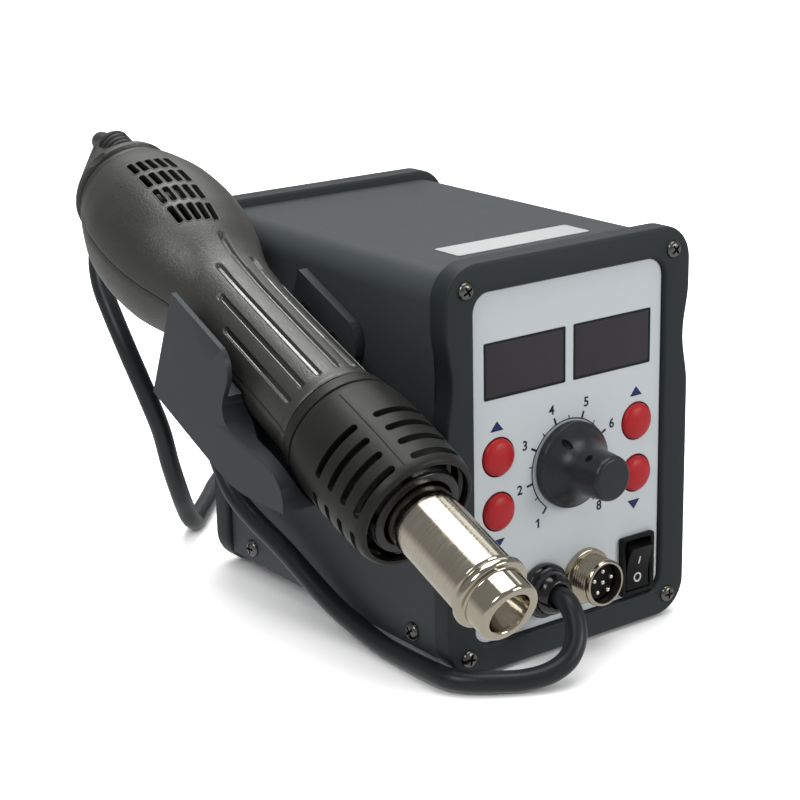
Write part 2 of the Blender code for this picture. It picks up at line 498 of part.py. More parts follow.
def build_handle():
    plastic = mat("handle_plastic", (0.06, 0.06, 0.054), 0.6)
    guardm = mat("guard_plastic", (0.05, 0.05, 0.048), 0.5)
    steel = mat("barrel_steel", (0.62, 0.6, 0.56), 0.22, 1.0)
    ceramic = mat("heater_ceramic", (0.6, 0.55, 0.48), 0.7)
    black = mat("boot_rubber", (0.03, 0.03, 0.03), 0.7)
    fanm = mat("fan_plastic", (0.03, 0.03, 0.032), 0.5)

    upper = half_shell("handle_upper", 1.0, plastic)
    half_shell("handle_lower", -1.0, plastic)
    bm = bmesh.new()
    for row in range(4):
        for col in range(5):
            one = bmesh.new()
            s, phi = vent_at(row, col)
            add_cube(one, -1.15, 1.15, 14.0, 32.0, s - 3.8, s + 3.8)
            one.transform(axis_matrix() @ Matrix.Rotation(math.radians(-phi), 4, 'Z'))
            me = bpy.data.meshes.new("vent")
            one.to_mesh(me)
            one.free()
            bm.from_mesh(me)
            bpy.data.meshes.remove(me)
    cut(upper, mesh_obj("cut_vents", bm, None, True, False))

    # tail cap: round at the grip, drawn up into a hood round the boot
    cap_shell("tail_cap", [(217.4, 1.0, 18.9), (220.0, 1.4, 18.4), (223.0, 2.4, 17.0), (226.0, 4.0, 15.0), (229.0, 5.9, 12.7), (231.6, 7.7, 10.5), (233.6, 9.2, 8.8), (234.4, 10.0, 7.9),
                           (234.4, 10.0, 7.2), (231.0, 8.9, 8.4), (228.0, 7.0, 10.2), (225.0, 5.0, 12.6), (221.0, 2.4, 15.6), (217.4, 1.0, 16.7)], plastic)
    ribs = [(5.9, 223.4)]
    for i in range(3):
        s = 223.8 + 3.0 * i
        ribs += [(6.9, s), (6.9, s + 1.5), (5.9, s + 2.0)]
    turn_s("cord_boot", [(4.0, 221.0), (5.9, 221.0)] + ribs + [(5.4, 233.6), (4.0, 233.6)], black, 16, BOOT_H)

    # heat guard: slotted sleeve with a rear ring that centres the barrel
    guard = turn_s("heat_guard", [(19.6, 34.5), (20.5, 36.0), (21.3, 56.0), (21.2, 68.0), (20.2, 74.6),
                                  (19.4, 80.1), (11.7, 80.1), (11.7, 76.0), (17.6, 72.0), (18.9, 66.0), (18.0, 34.5)],
                   guardm, 32)
    bm = bmesh.new()
    for k in range(5):
        for row in range(4):
            s0 = 37.2 + 6.6 * row
            vs = [bm.verts.new((r * MM, 0.0, s * MM)) for r, s in ((16.0, s0), (24.0, s0), (24.0, s0 + 2.6), (16.0, s0 + 2.6))]
            f = bm.faces.new(vs)
            # slots run round the sleeve between five plain ribs, the first rib 23 degrees from the top
            bmesh.ops.rotate(bm, verts=vs, cent=(0, 0, 0), matrix=Matrix.Rotation(math.radians(90.0 - 23.0 - 8.0 - 56.0 - 72.0 * k), 3, 'Z'))
            bmesh.ops.spin(bm, geom=[f] + list(f.edges) + list(f.verts), cent=(0, 0, 0), axis=(0, 0, 1), angle=math.radians(56.0), steps=3)
    bm.transform(axis_matrix())
    cut(guard, mesh_obj("cut_guard_slots", bm, None, True, False))

    # barrel: bead, reduced end with a rounded lip
    turn_s("barrel_tube", [(7.0, -10.9), (7.5, -11.9), (8.6, -12.3), (9.7, -11.7), (10.25, -10.4), (10.3, -4.9), (11.5, -4.2), (12.4, -2.8), (12.5, -1.4),
                           (12.0, 0.0), (11.2, 0.9), (11.2, 108.0), (10.4, 108.0), (10.4, 0.4), (9.5, -4.0), (9.4, -9.4)],
           steel, 24)
    turn_s("heater_core", [(5.2, 8.0), (10.0, 8.0), (10.0, 84.0), (5.2, 84.0)], ceramic, 20)

    # fan: frame ring with a bridge and bearing boss, and the turning rotor
    frame = turn_s("fan_frame", [(18.8, 176.0), (22.2, 176.0), (22.2, 188.0), (18.8, 188.0)], fanm, 28)
    bm = bmesh.new()
    add_cube(bm, -20.5, 20.5, -2.2, 2.2, 185.0, 188.0)
    bm.transform(axis_matrix())
    boolean(frame, mesh_obj("add_fan_bridge", bm, None, True, False), 'UNION')
    boolean(frame, turn_s("add_fan_boss", [(0, 184.6), (6.0, 184.6), (6.0, 188.4), (0, 188.4)], None, 16, 0.0, True), 'UNION')
    pts = []
    for i in range(9):
        a = 2 * math.pi * i / 9
        for da, r in ((-0.16, 7.6), (0.06, 17.6), (0.20, 17.6), (0.12, 7.6)):
            pts.append((r * math.cos(a + da), r * math.sin(a + da)))
    rotor = flat("fan_rotor", [pts], 'Z', 177.0, 184.2, fanm)
    rotor.data.transform(axis_matrix())
    set_origin(rotor, on_axis(180.0))


# ------------------------------------------------------------------ cord
CORD_FRONT = ((-11.6, 3.0, 12.7), (-11.6, -10.0, 12.7), (-12.0, -15.0, 10.9), (-13.2, -19.0, 6.2), (-15.6, -21.6, 1.8), (-20.0, -22.8, -2.6), (-26.6, -21.8, -5.6),
              (-34.4, -18.4, -7.0), (-42.4, -13.6, -7.0), (-48.6, -8.8, -6.9), (-52.6, -3.0, -6.8), (-53.6, 5.0, -6.9), (-53.5, 16.0, -7.2), (-53.4, 30.0, -7.2), (-53.6, 45.0, -5.0),
              (-54.6, 62.0, 0.2), (-56.3, 86.0, 11.6),
              (-57.4, 105.0, 19.0), (-57.8, 116.0, 25.0), (-57.4, 124.0, 33.0), (-57.2, 131.0, 43.5), (-56.2, 141.5, 53.5), (-48.8, 153.5, 57.5), (-36.0, 162.5, 54.0),
              (-18.0, 166.0, 44.5), (3.0, 165.0, 31.0), (24.0, 161.0, 16.5), (42.0, 161.0, 4.5), (56.5, 166.5, -3.6))
COIL_X, COIL_Y, COIL_Z, COIL_R, COIL_PITCH = 36.0, 190.0, -7.2, 31.5, 7.6
CORD_EXIT = ((17.0, 228.5, -7.2), (3.0, 220.0, -7.2), (-10.0, 208.0, -7.2), (-23.0, 193.5, -7.2), (-36.0, 179.6, -7.2))
CORD_HANG = ((-36.45, 179.17, -7.2), (-40.0, 175.8, -7.0), (-44.4, 171.7, -3.2), (-48.6, 167.6, 3.2), (-53.5, 162.5, 11.5), (-60.0, 157.0, 26.0), (-65.0, 153.2, 40.5),
             (-70.5, 152.0, 55.0), (-74.6, 157.4, 72.0), (-75.8, 166.0, 85.5), (-75.4, 172.8, 94.0), (-73.6, 177.6, 103.0), (-70.2, 179.2, 113.0), (-67.6, 177.8, 123.5),
             (-66.9, 175.6, 133.3), (-68.4, 173.9, 140.4), (-71.4, 171.2, 145.3), (-74.8, 166.8, 147.5))


def coil(turn_deg=24.0, steps=20):
    """The spare length behind the case: a flat coil on the standing surface, from its inner turn outwards."""
    out = []
    for k in range(steps + 1):
        a = math.radians(turn_deg * (k - 1))
        r = COIL_R + COIL_PITCH * turn_deg * k / 360.0
        out.append((COIL_X + r * math.cos(a), COIL_Y + r * math.sin(a), COIL_Z))
    return tuple(out)


def smooth_path(pts, steps):
    """Catmull-Rom through the route's own points."""
    P = [Vector(p) for p in pts]
    P = [P[0] * 2 - P[1]] + P + [P[-1] * 2 - P[-2]]
    out = []
    for k in range(1, len(P) - 2):
        for i in range(steps):
            t = i / steps
            a, b, c, d = P[k - 1], P[k], P[k + 1], P[k + 2]
            out.append(0.5 * ((2 * b) + (c - a) * t + (2 * a - 5 * b + 4 * c - d) * t * t + (3 * b - a - 3 * c + d) * t ** 3))
    out.append(P[-2])
    return out


def tube(name, path, d, material):
    cu = bpy.data.curves.new(name, 'CURVE')
    cu.dimensions = '3D'
    cu.bevel_depth = d / 2 * MM
    cu.bevel_resolution = 2
    cu.use_fill_caps = True
    sp = cu.splines.new('POLY')
    sp.points.add(len(path) - 1)
    for q, p in zip(sp.points, path):
        q.co = (p.x * MM, p.y * MM, p.z * MM, 1.0)
    return link(bpy.data.objects.new(name, cu), material)


def build_cord():
    rubber = mat("cord_rubber", (0.03, 0.033, 0.035), 0.65)
    tube("hose_cord_floor", smooth_path(CORD_FRONT + coil() + CORD_EXIT, 1), CORD_D, rubber)
    hang = list(CORD_HANG) + [on_axis(233.5, 0.0, BOOT_H), on_axis(227.0, 0.0, BOOT_H)]
    tube("hose_cord_hang", smooth_path(hang, 1), CORD_D, rubber)


start()
ROOT = bpy.data.objects.new("station_root", None)
COL.objects.link(ROOT)
ROOT.location = (OFF_X * MM, OFF_Y * MM, OFF_Z * MM)
build_case()
build_controls()
build_cradle()
build_handle()
build_cord()
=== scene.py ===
"""Hot air station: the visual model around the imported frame.

Case pieces are drawn in millimetres in the case frame (x = 0 on the middle plane, y = 0 on the
label, z = 0 at the label's lower edge) and moved to the row frame. Handle pieces are drawn in the
handle frame: local x away from the case, local y up across the axis, local z along the axis.
"""
import math
import bpy
import bmesh
import numpy as np
from mathutils import Vector, Matrix


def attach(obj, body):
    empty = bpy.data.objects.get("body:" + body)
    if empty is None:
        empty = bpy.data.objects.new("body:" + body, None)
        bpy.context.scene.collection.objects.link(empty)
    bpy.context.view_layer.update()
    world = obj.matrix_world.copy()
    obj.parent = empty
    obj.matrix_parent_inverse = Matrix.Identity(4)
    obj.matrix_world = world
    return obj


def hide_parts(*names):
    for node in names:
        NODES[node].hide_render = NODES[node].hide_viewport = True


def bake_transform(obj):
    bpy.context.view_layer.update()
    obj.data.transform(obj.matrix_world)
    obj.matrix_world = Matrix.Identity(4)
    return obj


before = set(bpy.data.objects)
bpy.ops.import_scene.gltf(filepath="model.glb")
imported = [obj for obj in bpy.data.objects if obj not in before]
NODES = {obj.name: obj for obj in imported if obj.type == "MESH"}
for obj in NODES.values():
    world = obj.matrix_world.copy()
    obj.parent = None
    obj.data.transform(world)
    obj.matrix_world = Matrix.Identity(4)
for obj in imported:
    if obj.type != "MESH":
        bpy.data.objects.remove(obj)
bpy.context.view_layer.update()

MM = 0.001
OFF = Vector((25.9, -47.745, 11.0))
CASE = Matrix.Translation(OFF * MM) @ Matrix.Scale(MM, 4)
TILT = math.radians(23.1)
AX = Vector((0.0, math.cos(TILT), math.sin(TILT)))
UP = Vector((0.0, -math.sin(TILT), math.cos(TILT)))
P0 = Vector((-77.0, -52.3, 46.7))
HFRAME = Matrix(((-1, UP.x, AX.x, (P0.x + OFF.x) * MM), (0, UP.y, AX.y, (P0.y + OFF.y) * MM),
                 (0, UP.z, AX.z, (P0.z + OFF.z) * MM), (0, 0, 0, 1)))
COLL = bpy.context.scene.collection


# ------------------------------------------------------------------ materials
def srgb(h):
    v = [int(h[i:i + 2], 16) / 255.0 for i in (1, 3, 5)]
    return tuple(c / 12.92 if c <= 0.04045 else ((c + 0.055) / 1.055) ** 2.4 for c in v)


def node(nt, kind, **inputs):
    n = nt.nodes.new(kind)
    for k, v in inputs.items():
        n.inputs[k.replace("_", " ")].default_value = v
    return n


def material(name, hexcol, rough=0.5, metal=0.0, var=0.10, fine=2400.0, broad=40.0, bump=0.15, depth=0.0002,
             rvar=0.08, spec=0.5, coat=0.0, stretch=None, wear_and_edge_highlight=0.0, aniso=0.0):
    rgb = srgb(hexcol)
    m = bpy.data.materials.new(name)
    m.use_nodes = True
    nt = m.node_tree
    b = nt.nodes["Principled BSDF"]
    b.inputs["Metallic"].default_value = metal
    b.inputs["Specular IOR Level"].default_value = spec
    if coat:
        b.inputs["Coat Weight"].default_value = coat
        b.inputs["Coat Roughness"].default_value = 0.12
    if aniso:
        b.inputs["Anisotropic"].default_value = aniso
    tc = nt.nodes.new("ShaderNodeTexCoord")
    src = tc.outputs["Object"]
    fsrc = src
    if stretch:
        mp = nt.nodes.new("ShaderNodeMapping")
        mp.inputs["Scale"].default_value = stretch
        nt.links.new(src, mp.inputs["Vector"])
        fsrc = mp.outputs["Vector"]
    n1 = node(nt, "ShaderNodeTexNoise", Scale=fine, Detail=3.0, Roughness=0.6)
    n2 = node(nt, "ShaderNodeTexNoise", Scale=broad, Detail=5.0, Roughness=0.6)
    nt.links.new(fsrc, n1.inputs["Vector"])
    nt.links.new(src, n2.inputs["Vector"])
    mid = nt.nodes.new("ShaderNodeMath")
    mid.operation = 'MULTIPLY_ADD'
    nt.links.new(n1.outputs["Fac"], mid.inputs[0])
    mid.inputs[1].default_value = 0.6
    half = nt.nodes.new("ShaderNodeMath")
    half.operation = 'MULTIPLY'
    half.inputs[1].default_value = 0.4
    nt.links.new(n2.outputs["Fac"], half.inputs[0])
    nt.links.new(half.outputs[0], mid.inputs[2])
    ramp = nt.nodes.new("ShaderNodeMapRange")
    ramp.inputs["From Min"].default_value = 0.3
    ramp.inputs["From Max"].default_value = 0.7
    nt.links.new(mid.outputs[0], ramp.inputs["Value"])
    mix = nt.nodes.new("ShaderNodeMix")
    mix.data_type = 'RGBA'
    mix.inputs[6].default_value = (*[c * (1 - var) for c in rgb], 1.0)
    mix.inputs[7].default_value = (*[min(1.0, c * (1 + var)) for c in rgb], 1.0)
    nt.links.new(ramp.outputs["Result"], mix.inputs[0])
    out = mix.outputs[2]
    # lightens convex edges by pointiness: partly edge wear, partly a painted highlight along the edges
    if wear_and_edge_highlight:
        geo = nt.nodes.new("ShaderNodeNewGeometry")
        edge = nt.nodes.new("ShaderNodeMapRange")
        edge.inputs["From Min"].default_value = 0.53
        edge.inputs["From Max"].default_value = 0.62
        edge.inputs["To Max"].default_value = wear_and_edge_highlight
        nt.links.new(geo.outputs["Pointiness"], edge.inputs["Value"])
        mix2 = nt.nodes.new("ShaderNodeMix")
        mix2.data_type = 'RGBA'
        mix2.inputs[7].default_value = (*[min(1.0, c * 2.2 + 0.02) for c in rgb], 1.0)
        nt.links.new(edge.outputs["Result"], mix2.inputs[0])
        nt.links.new(out, mix2.inputs[6])
        out = mix2.outputs[2]
    nt.links.new(out, b.inputs["Base Color"])
    rr = nt.nodes.new("ShaderNodeMapRange")
    rr.inputs["From Min"].default_value = 0.3
    rr.inputs["From Max"].default_value = 0.7
    rr.inputs["To Min"].default_value = max(0.02, rough - rvar)
    rr.inputs["To Max"].default_value = min(1.0, rough + rvar)
    nt.links.new(mid.outputs[0], rr.inputs["Value"])
    nt.links.new(rr.outputs["Result"], b.inputs["Roughness"])
    if bump:
        bn = node(nt, "ShaderNodeBump", Strength=bump, Distance=depth)
        nt.links.new(n1.outputs["Fac"], bn.inputs["Height"])
        nt.links.new(bn.outputs["Normal"], b.inputs["Normal"])
    m.diffuse_color = (*rgb, 1.0)
    return m


M = {}
M["bezel"] = material("bezel_plastic", "#22292b", 0.5, var=0.14, fine=2600, bump=0.20, depth=0.0002, wear_and_edge_highlight=0.35, spec=0.3)
M["cover"] = material("cover_powder", "#33383a", 0.46, var=0.16, fine=3000, bump=0.26, depth=0.0002, wear_and_edge_highlight=0.25, spec=0.3)
M["label"] = material("label_film", "#d3dadd", 0.42, var=0.02, fine=1500, bump=0.04, depth=0.0001, rvar=0.04, spec=0.2)
M["ink"] = material("print_navy", "#14183a", 0.45, var=0.10, fine=1800, bump=0.03, depth=0.0001, spec=0.3)
M["blue"] = material("print_blue", "#1b2a6c", 0.45, var=0.10, fine=1800, bump=0.03, depth=0.0001, spec=0.3)
M["outline"] = material("print_black", "#08090b", 0.45, var=0.10, fine=1800, bump=0.03, depth=0.0001, spec=0.3)
M["window"] = material("window_smoke", "#322f34", 0.36, var=0.12, fine=1500, bump=0.05, depth=0.0001, rvar=0.05, spec=0.3)
M["red"] = material("button_red", "#b8262b", 0.36, var=0.06, fine=1500, bump=0.05, depth=0.0001, rvar=0.05, spec=0.25)
M["knob"] = material("knob_black", "#262a2c", 0.33, var=0.14, fine=1800, bump=0.10, depth=0.0002, wear_and_edge_highlight=0.25, spec=0.34)
M["gloss"] = material("gloss_black", "#0a0b0c", 0.16, var=0.15, fine=900, bump=0.08, depth=0.0003, rvar=0.06, coat=0.3)
M["switch"] = material("switch_black", "#0e0f10", 0.42, var=0.14, fine=1800, bump=0.08, depth=0.0002, spec=0.15)
M["white"] = material("print_white", "#d5d8d8", 0.5, var=0.03, fine=1500, bump=0.03, depth=0.0001)
M["nickel"] = material("nickel_plate", "#b3aa98", 0.18, metal=1.0, var=0.08, fine=1500, bump=0.06, depth=0.0001, rvar=0.08)
M["pin"] = material("pin_silver", "#e4e2dc", 0.18, metal=1.0, var=0.05, fine=1500, bump=0.03, depth=0.0001)
M["screw"] = material("screw_zinc", "#6f6d67", 0.26, metal=1.0, var=0.16, fine=1600, bump=0.12, depth=0.0001)
# near-black cross recess: painted shade in the screw heads
M["slotdark"] = material("screw_recess_painted_shade", "#0c0c0b", 0.5, metal=0.4, var=0.10, fine=1600, bump=0.05, depth=0.0001)
M["rubber"] = material("foot_rubber", "#131414", 0.75, var=0.15, fine=1500, bump=0.30, depth=0.0003)
# strong edge lightening on the cradle: mostly a painted highlight along the wing edges, with some edge wear
M["cradle"] = material("cradle_plastic", "#2b2f31", 0.44, var=0.12, fine=2400, bump=0.18, depth=0.0002, wear_and_edge_highlight=0.45, spec=0.25)
M["handle"] = material("handle_plastic", "#31322d", 0.4, var=0.14, fine=1300, broad=70, bump=0.42, depth=0.0003, rvar=0.10, spec=0.75)
# groove floors: a shade darker than the handle as painted shade; their gloss is real
M["groove"] = material("groove_gloss_and_shade", "#2a2a26", 0.16, var=0.10, fine=900, bump=0.10, depth=0.0002, spec=0.6)
# lighter than the handle: painted highlight on the vent lips
M["rim"] = material("vent_rim_painted_highlight", "#4a4b46", 0.34, var=0.08, fine=1500, bump=0.10, depth=0.0002)
M["guard"] = material("guard_plastic", "#232420", 0.42, var=0.12, fine=1900, broad=70, bump=0.16, depth=0.0002, spec=0.26)
# near-black: the inner sleeve's own colour, and painted shade on the heat guard's inner wall
M["inside"] = material("guard_inside", "#0b0b0b", 0.32, var=0.15, fine=1200, bump=0.10, depth=0.0002)
M["steel"] = material("barrel_steel", "#bcb6a6", 0.1, metal=1.0, var=0.12, fine=1.0, broad=60, bump=0.28, depth=0.0001, rvar=0.14,
                      stretch=(150.0, 150.0, 1900.0), aniso=0.2)
M["lip"] = material("barrel_lip", "#b9b2a0", 0.08, metal=1.0, var=0.05, fine=1500, broad=60, bump=0.06, depth=0.0001, rvar=0.06)
M["bore"] = material("barrel_bore", "#b3ada2", 0.15, metal=1.0, var=0.22, fine=700, broad=120, bump=0.15, depth=0.0002)
M["ceramic"] = material("heater_ceramic", "#8b8172", 0.7, var=0.15, fine=900, bump=0.3, depth=0.0003)
M["fan"] = material("fan_plastic", "#151617", 0.5, var=0.15, fine=1500, bump=0.1)
M["boot"] = material("boot_rubber", "#2a2b29", 0.5, var=0.12, fine=1500, bump=0.25, depth=0.0002)
M["cord"] = material("cord_rubber", "#22272a", 0.36, var=0.14, fine=1400, broad=50, bump=0.20, depth=0.0002, rvar=0.08, spec=0.34)
M["board"] = material("board_green", "#1f5a34", 0.4, var=0.15, fine=700, bump=0.1)
M["iron"] = material("core_iron", "#5a5c5e", 0.45, metal=0.7, var=0.15, fine=900, bump=0.2, stretch=(1.0, 4.0, 1.0))
M["tape"] = material("coil_tape", "#b98c22", 0.45, var=0.12, fine=500, bump=0.2)
M["led"] = material("led_grey", "#4b4c50", 0.55, var=0.12, fine=1500, bump=0.1)
M["paper"] = material("sticker_paper", "#b4b8b7", 0.55, var=0.03, fine=1300, bump=0.06, depth=0.0001)


# ------------------------------------------------------------------ helpers
def place(o, mat, body, replaces=()):
    mats = mat if isinstance(mat, (list, tuple)) else [mat]
    if not o.data.materials:
        for m in mats:
            o.data.materials.append(m)
    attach(o, body)
    if replaces:
        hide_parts(*replaces)
    return o


def to_object(name, bm, matrix=None, smooth=35.0):
    bm.normal_update()
    bmesh.ops.recalc_face_normals(bm, faces=bm.faces[:])
    if matrix is not None:
        bm.transform(matrix)
        if matrix.determinant() < 0:
            bmesh.ops.reverse_faces(bm, faces=bm.faces[:])
    me = bpy.data.meshes.new(name)
    bm.to_mesh(me)
    bm.free()
    me.shade_smooth()
    me.set_sharp_from_angle(angle=math.radians(smooth))
    o = bpy.data.objects.new(name, me)
    COLL.objects.link(o)
    return o


def fil(pts, n=4):
    """Polyline of (x, y[, radius]) with its corners rounded."""
    out = []
    for i, p in enumerate(pts):
        r = p[2] if len(p) > 2 else 0.0
        if r <= 0 or i in (0, len(pts) - 1):
            out.append((p[0], p[1]))
            continue
        a, b, c = Vector(pts[i - 1][:2]), Vector(p[:2]), Vector(pts[i + 1][:2])
        u, v = (a - b), (c - b)
        t = min(r, 0.49 * u.length, 0.49 * v.length)
        q0, q1 = b + u.normalized() * t, b + v.normalized() * t
        for k in range(n + 1):
            w = k / n
            q = q0 * (1 - w) ** 2 + b * 2 * w * (1 - w) + q1 * w * w
            out.append((q.x, q.y))
    return out


def add_lathe(bm, prof, n=48, closed=False, matrix=None, mat_of=None):
    """Turned shape about local Z; points with r = 0 are poles."""
    rings = []
    made = []
    for r, t in prof:
        if r < 1e-6:
            rings.append([bm.verts.new((0.0, 0.0, t))])
        else:
            rings.append([bm.verts.new((r * math.cos(2 * math.pi * k / n), r * math.sin(2 * math.pi * k / n), t)) for k in range(n)])
        made += rings[-1]
    pairs = list(zip(rings[:-1], rings[1:])) + ([(rings[-1], rings[0])] if closed else [])
    for j, (a, b) in enumerate(pairs):
        for k in range(n):
            k2 = (k + 1) % n
            if len(a) == 1 and len(b) == 1:
                continue
            if len(a) == 1:
                f = bm.faces.new((a[0], b[k], b[k2]))
            elif len(b) == 1:
                f = bm.faces.new((a[k], b[0], a[k2]))
            else:
                f = bm.faces.new((a[k], b[k], b[k2], a[k2]))
            if mat_of:
                f.material_index = mat_of(j)
    if matrix is not None:
        bmesh.ops.transform(bm, matrix=matrix, verts=made)
    return made


def y_matrix(cx, cz):
    """Local Z along the case's +Y, through (cx, cz), millimetres."""
    return Matrix(((1, 0, 0, cx), (0, 0, 1, 0), (0, -1, 0, cz), (0, 0, 0, 1)))


def lathe_y(name, cx, cz, prof, n=48, closed=False, smooth=35.0, mat_of=None):
    bm = bmesh.new()
    add_lathe(bm, prof, n, closed, y_matrix(cx, cz), mat_of)
    return to_object(name, bm, CASE, smooth)


def lathe_h(name, prof, n=72, closed=False, smooth=35.0, h=0.0, mat_of=None):
    bm = bmesh.new()
    add_lathe(bm, [(r * MM, t * MM) for r, t in prof], n, closed, Matrix.Translation((0, h * MM, 0)), mat_of)
    o = to_object(name, bm, None, smooth)
    o.matrix_world = HFRAME
    return o


TURN = {'X': Matrix(((0, 0, 1, 0), (1, 0, 0, 0), (0, 1, 0, 0), (0, 0, 0, 1))),
        'Y': Matrix(((1, 0, 0, 0), (0, 0, -1, 0), (0, 1, 0, 0), (0, 0, 0, 1))),
        'Z': Matrix.Identity(4)}
SHIFT = {'X': Vector((1, 0, 0)), 'Y': Vector((0, 1, 0)), 'Z': Vector((0, 0, 1))}


def slab_bm(loops, axis, a, b, bevel=0.0, res=3):
    """Flat outline with holes, from a to b along axis, edges rounded by bevel; millimetres."""
    cu = bpy.data.curves.new("outline", 'CURVE')
    cu.dimensions = '2D'
    cu.fill_mode = 'BOTH'
    cu.extrude = max(1e-4, abs(b - a) / 2 - bevel)
    if bevel:
        cu.bevel_depth = bevel
        cu.bevel_resolution = res
        cu.offset = -bevel
    for i, pts in enumerate(loops):
        area = sum(p[0] * q[1] - q[0] * p[1] for p, q in zip(pts, list(pts[1:]) + [pts[0]]))
        ordered = list(pts) if (area > 0) == (i == 0) else list(reversed(pts))
        sp = cu.splines.new('POLY')
        sp.points.add(len(ordered) - 1)
        for q, p in zip(sp.points, ordered):
            q.co = (p[0], p[1], 0.0, 1.0)
        sp.use_cyclic_u = True
    tmp = bpy.data.objects.new("outline", cu)
    COLL.objects.link(tmp)
    me = bpy.data.meshes.new_from_object(tmp.evaluated_get(bpy.context.evaluated_depsgraph_get()))
    bpy.data.objects.remove(tmp, do_unlink=True)
    bm = bmesh.new()
    bm.from_mesh(me)
    bpy.data.meshes.remove(me)
    bmesh.ops.remove_doubles(bm, verts=bm.verts[:], dist=1e-4)
    bm.transform(Matrix.Translation(SHIFT[axis] * ((a + b) / 2)) @ TURN[axis])
    return bm


def join_bm(*parts):
    out = bmesh.new()
    for p in parts:
        me = bpy.data.meshes.new("part")
        p.to_mesh(me)
        p.free()
        out.from_mesh(me)
        bpy.data.meshes.remove(me)
    return out


def slab(name, loops, axis, a, b, bevel=0.0, res=3, smooth=35.0):
    return to_object(name, slab_bm(loops, axis, a, b, bevel, res), CASE, smooth)


def rrect(x0, x1, z0, z1, r, n=8):
    out = []
    for cx, cz, a0 in ((x1 - r, z0 + r, -90), (x1 - r, z1 - r, 0), (x0 + r, z1 - r, 90), (x0 + r, z0 + r, 180)):
        for i in range(n + 1):
            a = math.radians(a0 + 90.0 * i / n)
            out.append((cx + r * math.cos(a), cz + r * math.sin(a)))
    return out


def circle(cx, cz, r, n=40, a0=0.0):
    return [(cx + r * math.cos(a0 + 2 * math.pi * i / n), cz + r * math.sin(a0 + 2 * math.pi * i / n)) for i in range(n)]


def add_box(bm, lo, hi, matrix=None):
    lo, hi = Vector(lo), Vector(hi)
    m = Matrix.Translation((lo + hi) / 2) @ Matrix.Diagonal((*(hi - lo), 1.0))
    if matrix is not None:
        m = matrix @ m
    return bmesh.ops.create_cube(bm, size=1.0, matrix=m)["verts"]


def carve(o, cutter, op='DIFFERENCE'):
    """Boolean with the result applied to the mesh, and the cutter removed."""
    m = o.modifiers.new("carve", 'BOOLEAN')
    m.operation = op
    m.solver = 'EXACT'
    m.object = cutter
    bpy.context.view_layer.update()
    me = bpy.data.meshes.new_from_object(o.evaluated_get(bpy.context.evaluated_depsgraph_get()))
    o.modifiers.remove(m)
    old = o.data
    o.data = me
    bpy.data.meshes.remove(old)
    bpy.data.objects.remove(cutter, do_unlink=True)
    return o


def soften(o, width, segments=2, angle=38.0):
    m = o.modifiers.new("edges", 'BEVEL')
    m.width = width
    m.segments = segments
    m.limit_method = 'ANGLE'
    m.angle_limit = math.radians(angle)
    m.use_clamp_overlap = True
    m.harden_normals = False
    return o


def paint(node_name, mat):
    o = NODES[node_name]
    o.data.materials.clear()
    o.data.materials.append(mat)
    o.data.shade_smooth()
    o.data.set_sharp_from_angle(angle=math.radians(35))


